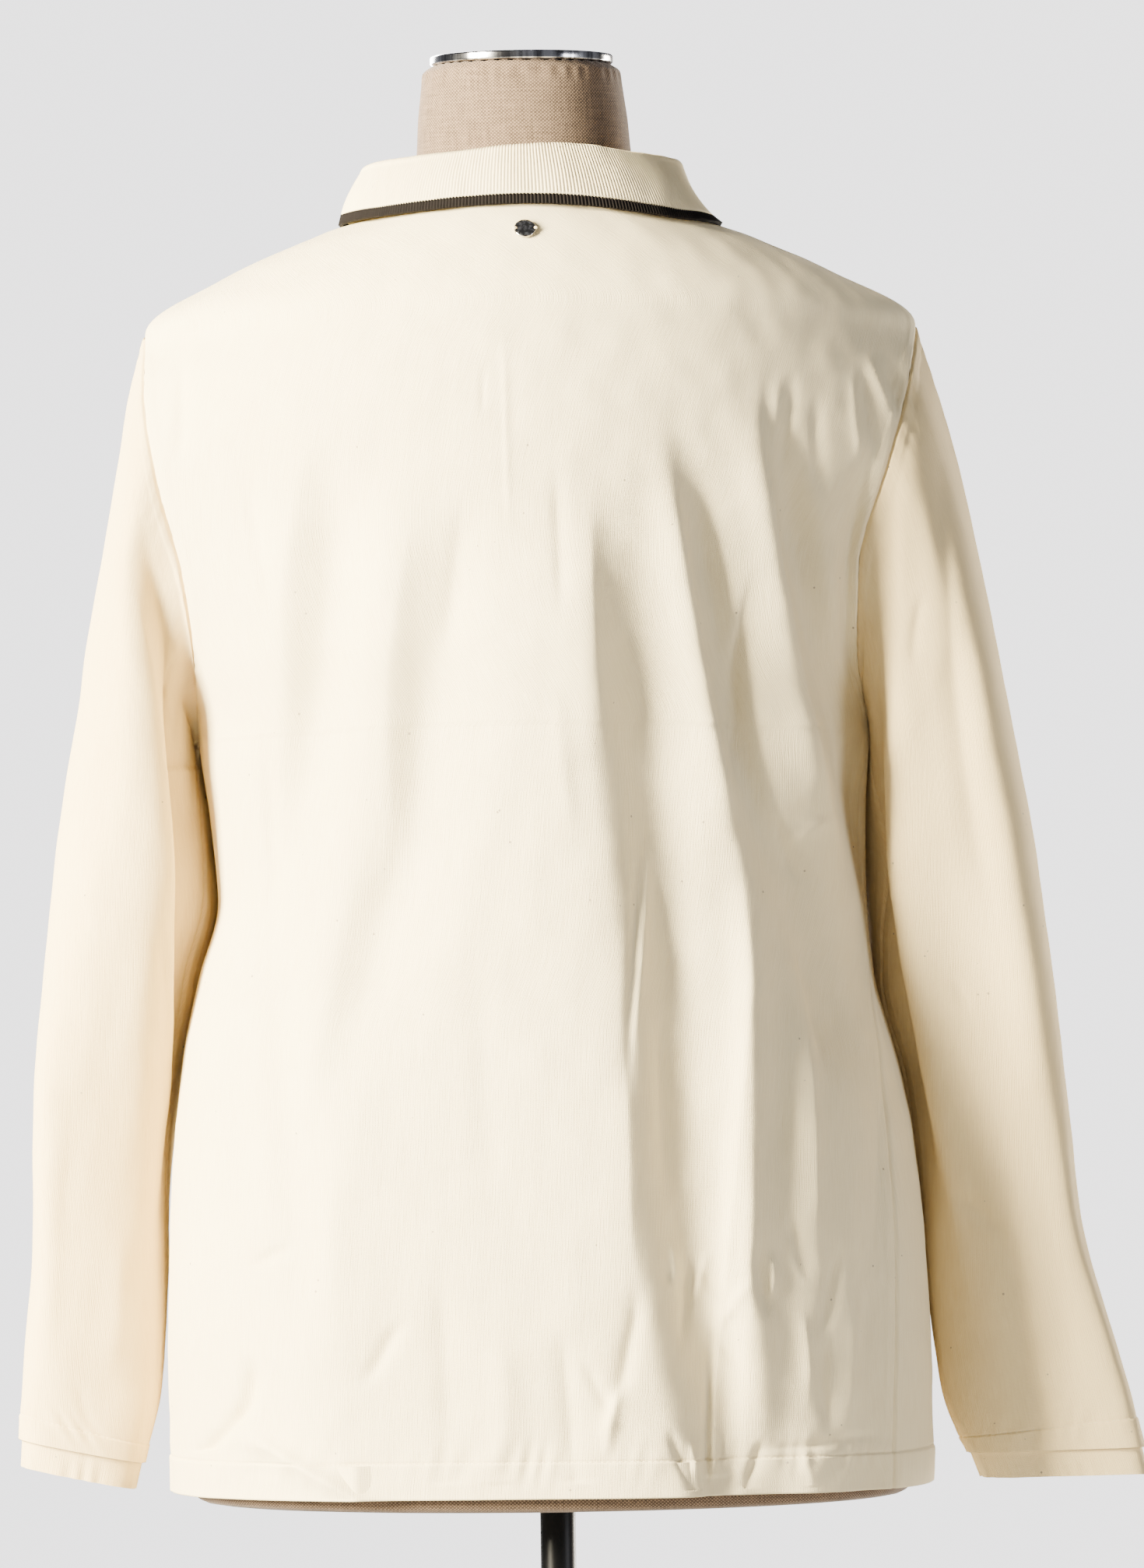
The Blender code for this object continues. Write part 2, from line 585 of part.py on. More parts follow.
def new_material(name, colour, roughness, metallic=0.0):
    made = bpy.data.materials.new(name)
    made.use_nodes = True
    shader = made.node_tree.nodes["Principled BSDF"]
    shader.inputs["Base Color"].default_value = (*colour, 1)
    shader.inputs["Roughness"].default_value = roughness
    shader.inputs["Metallic"].default_value = metallic
    made.diffuse_color = (*colour, 1)
    return made


# ---------------------------------------------------------------- the shirt's pieces
def body_levels():
    """Heights up a panel, with a pair of rows at the hem's stitching and more through the armhole."""
    hem_top = EDGE_ROWS[1][0] * HEM_BAND / (EDGE_ROWS[1][1] - EDGE_ROWS[0][1])
    skirt = np.linspace(hem_top + 0.002, V_UNDERARM, SKIRT_ROWS)
    sleeve_zone = np.linspace(V_UNDERARM, V_TIP, ARMHOLE_STEPS + 1)[1:]
    yoke = np.linspace(V_TIP, 1.0, YOKE_ROWS + 1)[1:]
    return np.concatenate([[0.0, hem_top], skirt, sleeve_zone, yoke])


def even_angles(panel, count):
    """Angles from the middle of a panel to its side that are evenly spaced round its section."""
    fine = np.linspace(0, 90, 181)
    points = smooth_body(panel, 0.3, fine)
    run = np.concatenate([[0], np.cumsum(np.linalg.norm(np.diff(points, axis=0), axis=1))])
    return np.interp(np.linspace(0, run[-1], count), run, fine)


def body_angles(panel, levels):
    """Angles across a panel, a row for each level. The front has lines at the placket's edges."""
    if panel == "back":
        spread = even_angles(panel, BACK_COLUMNS)
        return np.tile(np.concatenate([-spread[:0:-1], spread]), (len(levels), 1))
    spread = np.sin(np.radians(even_angles(panel, FRONT_COLUMNS)))
    rows = []
    for v in levels:
        halves = []
        for side in (-1, 1):
            start = PLACKET_HALF / float(half_width(v, side))
            halves.append(side * np.degrees(np.arcsin(np.clip(start + (1 - start) * spread, 0, 1))))
        rows.append(np.concatenate([halves[0][::-1], [0.0], halves[1]]))
    return np.array(rows)


def make_panel(panel):
    """The back or the front, as one wall from hem to neckline."""
    levels = body_levels()
    angles = body_angles(panel, levels)
    v = np.broadcast_to(levels[:, None], angles.shape)
    hem = np.where(v <= levels[1] + 1e-9, HEM_STEP, 0.0)
    outer = body_point(panel, v, angles, hem, SEAM_GAP / 2)
    inner = body_point(panel, v, angles, np.full(v.shape, -CLOTH), SEAM_GAP / 2)
    return wall(panel, outer, inner, JERSEY)


def make_sleeve(name, side, rows, folds):
    """The sleeve as a tube. Its first ring runs beside the armhole, its wall turned as the panels are."""
    rows, folds = table(SLEEVE_COLUMNS, rows), table(SLEEVE_FOLD_COLUMNS, folds)
    around = np.linspace(0, 360, 2 * ARMHOLE_STEPS, endpoint=False)
    cuff = 1 - CUFF_BAND / SLEEVE_LENGTH
    levels = np.concatenate([[0.0], np.linspace(SLEEVE_FIRST_ROW, cuff - 0.003, SLEEVE_ROWS), [cuff, 1.0]])
    s, turn = np.meshgrid(levels, around, indexing="ij")
    base = smooth_sleeve(side, rows, s, turn)
    normal = sleeve_normal(side, rows, s, turn)
    _, body_out, across = armhole(side, around)
    across[[0, ARMHOLE_STEPS], 1] = 0
    across = unit(across)
    towards_body = np.maximum((normal[0] * across).sum(-1, keepdims=True), 0)
    agree = ease(((normal[0] * body_out).sum(-1, keepdims=True) - 0.1) / 0.4)
    normal[0] = unit((normal[0] - towards_body * across) * (1 - agree) + body_out * agree)
    leave = unit(base[1] - base[0])
    turned_back = np.maximum(1 - (leave * across).sum(-1, keepdims=True), 0)
    base[0] = base[0] + SLEEVE_GAP * unit(across + 1.5 * body_out * turned_back)
    lift = sleeve_fold_height(folds, s, turn)[..., None]
    hem = np.where(s >= cuff - 1e-9, HEM_STEP, 0)[..., None]
    wall(name, base + normal * (lift + hem), base + normal * (lift - CLOTH), JERSEY, ring=True)


def arc_place(arc, t):
    """A place in plan on one of the collar's arcs, at station t."""
    if t <= 0.5:
        angle = math.pi / 2 * (1 - 2 * t)
        return arc["x_half"] * math.cos(angle), arc["y_back"] * math.sin(angle)
    angle = math.acos(arc["x_end"] / arc["x_half"]) * (2 * t - 1)
    return arc["x_half"] * math.cos(angle), -arc["y_front"] * math.sin(angle)


def collar_profile(t, side):
    """The collar's middle line at one station, from the neck seam up the stand and down the fall."""
    turn = t * COLLAR_END
    panel, angle = ("back", turn) if turn <= 90 else ("front", 180 - turn)
    seam = smooth_body(panel, 1.0, angle * side)
    seam = seam - body_normal(panel, 0.97, min(angle, 80) * side) * CLOTH / 2
    rise = KNIT / 2 + SEAM_GAP + STAND_RISE + FRONT_RISE * float(ease((t - 0.85) / 0.1))
    start = seam + (0, 0, rise)
    fold_x, fold_y = arc_place(ROLL_ARC, t)
    heights = table(ROLL_HEIGHT_COLUMNS, ROLL_HEIGHTS)
    roll_middle = np.array([fold_x * side, fold_y, float(curve(heights["t"], heights["z"], t)) - ROLL])
    edge_x, edge_y = arc_place(EDGE_ARC, t)
    edge = on_body(edge_x * side, edge_y, EDGE_LIFT + KNIT)
    outward, up = unit((edge - start) * (1, 1, 0)), np.array([0, 0, 1.0])
    turns = np.radians(ROLL_ANGLES)
    roll = [roll_middle + ROLL * (up * math.sin(a) - outward * math.cos(a)) for a in turns]
    stand = [start, (start + roll[0]) / 2]
    fall_length = float(np.linalg.norm(edge - roll[-1]))
    tip = 1 - TIPPING / fall_length
    bow = unit(np.cross(edge - roll[-1], np.cross(outward, up)))
    bow = FALL_BOW * (bow if bow[2] > 0 else -bow)
    shares = (*FALL_SHARES, tip - SEAM_GAP / fall_length, tip, 1.0)
    fall = [roll[-1] + (edge - roll[-1]) * k + bow * math.sin(math.pi * k) for k in shares]
    return np.array([*stand, *roll, *fall])


def make_collar():
    """The collar, and its dark edge as a piece of its own: the last two points of each profile."""
    half = np.linspace(0, 1, COLLAR_STEPS + 1)
    stations = [(t, 1) for t in half[::-1]] + [(t, -1) for t in half[1:]]
    middle = np.array([collar_profile(t, side) for t, side in stations])
    along = np.gradient(middle, axis=0)
    down = np.gradient(middle, axis=1)
    normal = unit(np.cross(down, along))
    if normal[COLLAR_STEPS, -1, 2] < 0:
        normal = -normal
    outer, inner = middle + normal * KNIT / 2, middle - normal * KNIT / 2
    wall("collar", outer[:, :-2], inner[:, :-2], RIB)
    wall("collar_tipping", outer[:, -2:], inner[:, -2:], DARK)


def make_placket():
    """The buttoned front band, on the front panel's own points, moved out."""
    levels = body_levels()
    levels = levels[levels >= PLACKET_FOOT_V - 1e-6]
    angles = body_angles("front", levels)
    middle = angles.shape[1] // 2
    angles = angles[:, middle - 1 : middle + 2]
    v = np.broadcast_to(levels[:, None], angles.shape)
    low = body_point("front", v, angles, PLACKET_GAP)
    high = body_point("front", v, angles, PLACKET_GAP + PLACKET_THICK)
    wall("placket", high, low, JERSEY)


def make_form():
    """The torso: the shirt's own smooth sections drawn in, with flat arm plates, then the neck."""
    rows = table(CLEARANCE_COLUMNS, CLEARANCE_ROWS)
    arcs = np.linspace(-FORM_ARC, FORM_ARC, FORM_COLUMNS)
    rings = []
    for v in FORM_LEVELS:
        clear = float(curve(rows["v"], rows["clear"], v)) + CLOTH
        armhole_share = min(max((v - V_UNDERARM) / (V_TIP - V_UNDERARM), 0), 1)
        back = smooth_body("back", v, arcs) - body_normal("back", v, arcs) * clear
        front = smooth_body("front", v, -arcs) - body_normal("front", v, -arcs) * clear
        plates = []
        for side in (1, -1):
            edges = [smooth_body(name, v, 90 * side) for name in ("back", "front")]
            normals = [body_normal(name, v, 90 * side) for name in ("back", "front")]
            inwards = clear - ARM_BULGE * math.sin(math.pi * armhole_share)
            plates.append((edges[0] + edges[1]) / 2 - unit(normals[0] + normals[1]) * inwards)
        rings.append(np.concatenate([back, plates[:1], front, plates[1:]]))
    lowest = rings[0]
    for share, rise in FORM_EDGE:
        rings.insert(0, lowest * (share, share, 0) + (0, 0, FORM_BOTTOM_Z + rise))
    turn = np.arctan2(rings[-1][:, 1], rings[-1][:, 0])
    for z, x_half, y_front, y_back in NECK_ROWS:
        y = np.where(np.sin(turn) > 0, np.sin(turn) * y_back, -np.sin(turn) * y_front)
        rings.append(np.stack([np.cos(turn) * x_half, y, np.full(turn.shape, z)], axis=-1))
    loft("form_body", rings, LINEN)


# ---------------------------------------------------------------- build
for old in list(bpy.data.objects):
    bpy.data.objects.remove(old, do_unlink=True)
SHIRT = bpy.data.collections.new("polo_shirt_on_form")
bpy.context.scene.collection.children.link(SHIRT)
JERSEY = new_material("jersey", (0.86, 0.80, 0.68), 0.85)
RIB = new_material("rib_knit", (0.86, 0.80, 0.68), 0.9)
DARK = new_material("dark_knit", (0.06, 0.045, 0.04), 0.9)
LINEN = new_material("linen", (0.55, 0.42, 0.30), 0.9)
SHELL = new_material("button", (0.80, 0.75, 0.66), 0.35)
CHROME = new_material("chrome", (0.80, 0.80, 0.80), 0.12, 1.0)
BLACK = new_material("black_metal", (0.02, 0.02, 0.02), 0.35, 0.6)

make_panel("back")
make_panel("front")
make_sleeve("sleeve_left", 1, LEFT_SLEEVE, LEFT_SLEEVE_FOLDS)
make_sleeve("sleeve_right", -1, RIGHT_SLEEVE, RIGHT_SLEEVE_FOLDS)
make_collar()
make_placket()
make_form()

for number, level in enumerate(BUTTON_V, start=1):
    button = turned(f"button_{number}", BUTTON_PROFILE, BUTTON_SIDES, SHELL)
    foot = body_point("front", level, 0.0, PLACKET_GAP + PLACKET_THICK + BUTTON_GAP)
    place_on(button, leaning(foot), body_normal("front", level, 0.0))

disc = turned("neck_disc", DISC_PROFILE, DISC_SIDES, CHROME)
place_on(disc, leaning(body_point("back", DISC_V, 0.0, DISC_GAP)), body_normal("back", DISC_V, 0.0))

cap = turned("form_cap", CAP_PROFILE, ROUND_SIDES, CHROME)
place_on(cap, leaning((0, 0, NECK_ROWS[-1][0] + SEAM_GAP)), (0, 0, 1))

base = turned("form_base", BASE_PROFILE, ROUND_SIDES, BLACK)
pole_foot = BASE_PROFILE[0][1] + SEAM_GAP
pole_length = FORM_BOTTOM_Z - SEAM_GAP - pole_foot
pole_profile = ((0, pole_length), (POLE_RADIUS, pole_length), (POLE_RADIUS, 0), (0, 0))
pole = turned("form_pole", pole_profile, POLE_SIDES, BLACK)
place_on(pole, (0, 0, pole_foot), (0, 0, 1))
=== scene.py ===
"""Long-sleeve polo shirt worn on a limbless dress form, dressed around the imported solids.

Metres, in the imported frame: +Z up, the shirt's front faces -Y, the wearer's left is +X. Every piece of
cloth is worked out from tables of sections and folds. Folds seen in the photograph are placed in its pixels.
"""

import math

import bmesh
import bpy
import numpy as np
from mathutils import Matrix, Vector


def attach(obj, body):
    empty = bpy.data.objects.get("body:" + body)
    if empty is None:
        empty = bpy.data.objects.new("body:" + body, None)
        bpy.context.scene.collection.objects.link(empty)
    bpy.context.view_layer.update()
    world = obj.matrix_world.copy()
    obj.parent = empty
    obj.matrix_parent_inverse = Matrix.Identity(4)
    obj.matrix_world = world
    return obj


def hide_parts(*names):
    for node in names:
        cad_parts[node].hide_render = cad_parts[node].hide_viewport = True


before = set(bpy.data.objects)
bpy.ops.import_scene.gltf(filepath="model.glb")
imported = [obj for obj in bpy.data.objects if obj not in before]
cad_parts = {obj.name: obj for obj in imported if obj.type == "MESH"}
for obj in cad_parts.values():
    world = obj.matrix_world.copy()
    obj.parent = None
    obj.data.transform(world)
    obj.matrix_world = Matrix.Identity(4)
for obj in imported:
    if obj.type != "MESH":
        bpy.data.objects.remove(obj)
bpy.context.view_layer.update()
for shown in list(bpy.context.selected_objects):
    shown.select_set(False)

# ---------------------------------------------------------------- camera, studio and floor
# The photograph is a long-lens view square to the shirt's back, a shade off level, before a light grey wall
# with a large soft light at the picture's left. It ends above the stand's base.
PHOTO_W, PHOTO_H = 1470, 2014
EYE = np.array([-0.0139, 5.5, 1.015])
PICTURE_ROLL = math.radians(0.82)
SENSOR = 36.0  # mm, its height
FOCAL = 223.4  # mm
FAR_CLIP = 200.0


def linked(name, data):
    """A new object of the scene."""
    made = bpy.data.objects.new(name, data)
    bpy.context.scene.collection.objects.link(made)
    return made


lens = bpy.data.cameras.new("photo_camera")
lens.sensor_fit = "VERTICAL"
lens.sensor_height = SENSOR
lens.sensor_width = SENSOR * PHOTO_W / PHOTO_H
lens.lens = FOCAL
lens.clip_end = FAR_CLIP
camera = linked("photo_camera", lens)
level = Matrix(((-1, 0, 0), (0, 0, 1), (0, 1, 0))).to_4x4()
camera.matrix_world = Matrix.Translation(EYE) @ Matrix.Rotation(-PICTURE_ROLL, 4, "Y") @ level
bpy.context.scene.camera = camera


def fill(node, **settings):
    """The node, with values or links for its named sockets. _0 is its first socket, _1 its second."""
    for key, value in settings.items():
        if key in ("operation", "data_type", "uv_map", "noise_dimensions"):
            setattr(node, key, value)
            continue
        socket = node.inputs[int(key[1:])] if key[1:].isdigit() else node.inputs[key.replace("_", " ")]
        if isinstance(value, bpy.types.NodeSocket):
            links.new(value, socket)
        else:
            socket.default_value = value
    return node


def wire(kind, **settings):
    """A new node of the current material."""
    return fill(nodes.new("ShaderNode" + kind), **settings)


def new_material(name, **values):
    """A new material, with values for its shader's sockets. It becomes the current one."""
    global nodes, links, shader
    made = bpy.data.materials.new(name)
    made.use_nodes = True
    nodes, links = made.node_tree.nodes, made.node_tree.links
    shader = fill(nodes["Principled BSDF"], **values)
    return made


def own_place():
    """Where a point lies, in the piece's own coordinates."""
    return wire("TexCoord").outputs["Object"]


def noise(place, scale, detail, **more):
    """The value of a noise over places."""
    return wire("TexNoise", Vector=place, Scale=scale, Detail=detail, **more).outputs[0]


def ramp(value, low, high, at=(0.0, 1.0)):
    """A colour that goes from low to high as the value goes between two numbers."""
    made = wire("ValToRGB", Fac=value)
    for end, number, colour in zip(made.color_ramp.elements, at, (low, high)):
        end.position = number
        end.color = (*colour, 1)
    return made.outputs["Color"]


WALL_GREY = (2.85, 2.80, 2.83)  # what the camera sees behind the shirt
AIR_GREY = (0.116, 0.120, 0.138)  # what the room itself sends onto it
world = bpy.data.worlds.new("studio")
bpy.context.scene.world = world
world.use_nodes = True
nodes, links = world.node_tree.nodes, world.node_tree.links
to_camera = wire("LightPath").outputs["Is Camera Ray"]
seen = wire("Mix", data_type="RGBA", Factor=to_camera, A=(*AIR_GREY, 1), B=(*WALL_GREY, 1))
fill(nodes["Background"], Color=seen.outputs["Result"])


def area_light(name, place, aim, size, power, colour):
    """A soft rectangular light at a place, aimed at a point."""
    light = bpy.data.lights.new(name, "AREA")
    light.shape = "RECTANGLE"
    light.size, light.size_y = size
    light.energy = power
    light.color = colour
    look = (Vector(aim) - Vector(place)).to_track_quat("-Z", "Y")
    linked(name, light).matrix_world = Matrix.Translation(place) @ look.to_matrix().to_4x4()


area_light("key", (2.46, 1.64, 1.78), (0.0, 0.05, 0.95), (1.0, 1.5), 1400, (1.0, 0.915, 0.715))
area_light("fill", (-3.3, 1.7, 0.75), (-0.1, 0.0, 0.80), (1.2, 1.8), 76, (0.95, 0.97, 1.05))
area_light("rim", (-2.3, -2.7, 0.8), (0.0, 0.0, 0.95), (1.2, 2.0), 320, (1.0, 0.92, 0.80))
area_light("front", (1.2, -3.6, 2.0), (0.0, 0.0, 0.95), (2.4, 2.4), 420, (1.0, 0.98, 0.95))

FLOOR_RADIUS = 6.4
bpy.ops.mesh.primitive_circle_add(vertices=96, radius=FLOOR_RADIUS, fill_type="NGON")
floor = bpy.context.object
floor.name = "studio_floor"
floor.data.materials.append(new_material("studio_paper", Roughness=0.9))
fill(shader, Base_Color=ramp(noise(own_place(), 3.0, 6.0), (0.24, 0.24, 0.245), (0.29, 0.29, 0.295)))

# ---------------------------------------------------------------- the back of the shirt
# One piece of cream cotton jersey from neckline to hem, with no yoke. It hangs from the shoulder blades in
# long soft folds, most of them on the picture's right, over a turned-up hem with one row of stitching.
V_UNDERARM = 0.58  # v runs up a panel, from 0 at the hem to 1 at the neck seam
V_TIP = 0.86  # the shoulder's outer end
Z_BOW = 2.3  # how flat a panel's section stays before it turns down to its edges
LEAN = 0.011  # sideways for each metre of height, as the form stands on its pole
FORM_BOTTOM_Z = 0.613
EDGE_COLUMNS = ("v", "z_edge", "x_left", "x_right", "y_back", "y_front")
EDGE_ROWS = (
    (0.00, 0.620, 0.2175, 0.2125, -0.002, -0.002),
    (0.10, 0.690, 0.2175, 0.2135, -0.002, -0.002),
    (0.20, 0.760, 0.2150, 0.2110, -0.002, -0.002),
    (0.28, 0.820, 0.2105, 0.2055, -0.002, -0.002),
    (0.34, 0.864, 0.2050, 0.1965, -0.002, -0.002),
    (0.40, 0.908, 0.1950, 0.1860, -0.002, -0.002),
    (0.46, 0.952, 0.1830, 0.1832, -0.002, -0.002),
    (0.52, 1.000, 0.1865, 0.1838, -0.002, -0.002),
    (0.58, 1.042, 0.1915, 0.1865, -0.002, -0.002),
    (0.64, 1.085, 0.1925, 0.1815, 0.030, -0.038),
    (0.70, 1.135, 0.1980, 0.1830, 0.046, -0.054),
    (0.76, 1.190, 0.2110, 0.1995, 0.047, -0.055),
    (0.82, 1.240, 0.2175, 0.2140, 0.028, -0.034),
    (0.86, 1.272, 0.2170, 0.2195, 0.000, 0.000),
    (0.91, 1.302, 0.1730, 0.1730, -0.001, -0.001),
    (0.955, 1.3235, 0.1240, 0.1240, -0.001, -0.001),
    (1.00, 1.339, 0.0800, 0.0800, 0.000, 0.000),
)
MIDDLE_COLUMNS = ("v", "y_mid", "z_mid", "bow")
BACK_ROWS = (
    (0.00, 0.1480, 0.6225, 0.90),
    (0.10, 0.1480, 0.690, 0.90),
    (0.20, 0.1465, 0.760, 0.90),
    (0.34, 0.1390, 0.864, 0.95),
    (0.46, 0.1300, 0.954, 1.00),
    (0.52, 0.1285, 1.004, 1.00),
    (0.58, 0.1290, 1.050, 1.10),
    (0.64, 0.1320, 1.105, 1.60),
    (0.70, 0.1325, 1.160, 2.00),
    (0.76, 0.1280, 1.212, 2.10),
    (0.82, 0.1205, 1.257, 2.00),
    (0.86, 0.1130, 1.285, 1.70),
    (0.91, 0.1005, 1.313, 1.25),
    (0.955, 0.0850, 1.333, 1.10),
    (1.00, 0.0620, 1.345, 1.00),
)
FRONT_ROWS = (
    (0.00, -0.1500, 0.6215, 0.90),
    (0.10, -0.1500, 0.690, 0.90),
    (0.20, -0.1495, 0.760, 0.90),
    (0.34, -0.1480, 0.864, 0.92),
    (0.46, -0.1510, 0.952, 0.95),
    (0.52, -0.1560, 1.000, 0.95),
    (0.58, -0.1590, 1.045, 1.05),
    (0.64, -0.1570, 1.085, 1.50),
    (0.70, -0.1500, 1.125, 1.85),
    (0.76, -0.1400, 1.163, 2.00),
    (0.82, -0.1290, 1.195, 1.90),
    (0.86, -0.1200, 1.215, 1.65),
    (0.91, -0.1070, 1.237, 1.20),
    (0.955, -0.0950, 1.253, 1.10),
    (1.00, -0.0820, 1.266, 1.00),
)
# The large folds, as in the solids: heights, five places across in millimetres, lift in millimetres, reach
# towards +X and -X, and how much is left at the top and the low end.
FOLD_COLUMNS = ("z_top", "z_low", "x0", "x1", "x2", "x3", "x4", "lift", "left", "right", "top", "low")
BACK_FOLDS = (
    (1.205, 0.620, -52, -61, -74, -79, -107, -10.5, 21, 19, 0, 1.0),
    (1.190, 0.620, -22, -26, -40, -44, -66, 6.2, 52, 20, 0, 1.0),
    (1.215, 0.950, -72, -82, -92, -102, -109, 5.0, 11, 9, 0, 0),
    (1.210, 0.950, -86, -97, -108, -119, -128, -7.5, 10, 10, 0, 0.2),
    (1.235, 0.960, -125, -131, -140, -153, -172, 8.5, 15, 9, 0, 0),
    (1.245, 0.930, -140, -147, -161, -178, -184, -9.0, 10, 12, 0, 0),
    (1.010, 0.840, -127, -139, -150, -163, -172, -7.5, 13, 13, 0, 0),
    (1.010, 0.620, -110, -113, -111, -109, -106, 6.8, 9, 15, 0, 0.8),
    (1.215, 0.950, 108, 112, 120, 132, 140, -7.0, 14, 20, 0, 0),
    (1.200, 0.820, 37, 54, 69, 97, 118, -8.0, 20, 30, 0, 0),
    (0.930, 0.620, 98, 112, 120, 126, 130, 4.0, 30, 26, 0, 1.0),
    (0.880, 0.620, -188, -184, -179, -176, -172, -3.0, 8, 10, 0, 1.0),
    (0.980, 0.700, 152, 150, 146, 140, 136, -3.5, 10, 16, 0, 0),
)
FRONT_FOLDS = (
    (1.090, 0.620, 84, 94, 101, 107, 112, 8.0, 22, 30, 0, 1.0),
    (1.085, 0.620, -82, -94, -102, -110, -118, 8.0, 30, 20, 0, 1.0),
    (1.060, 0.620, 52, 62, 66, 70, 74, -5.0, 15, 14, 0, 1.0),
    (1.060, 0.620, -46, -58, -62, -68, -76, -5.0, 14, 16, 0, 1.0),
    (1.000, 0.620, 14, 20, 24, 30, 34, 5.0, 18, 22, 0, 1.0),
    (0.980, 0.620, -22, -26, -26, -32, -36, 4.0, 20, 18, 0, 1.0),
    (0.960, 0.620, 146, 148, 150, 152, 156, -4.0, 16, 14, 0, 1.0),
    (1.170, 1.020, 168, 156, 146, 136, 128, 4.0, 12, 12, 0, 0),
    (1.165, 1.020, -166, -154, -144, -134, -126, 4.0, 12, 12, 0, 0),
)
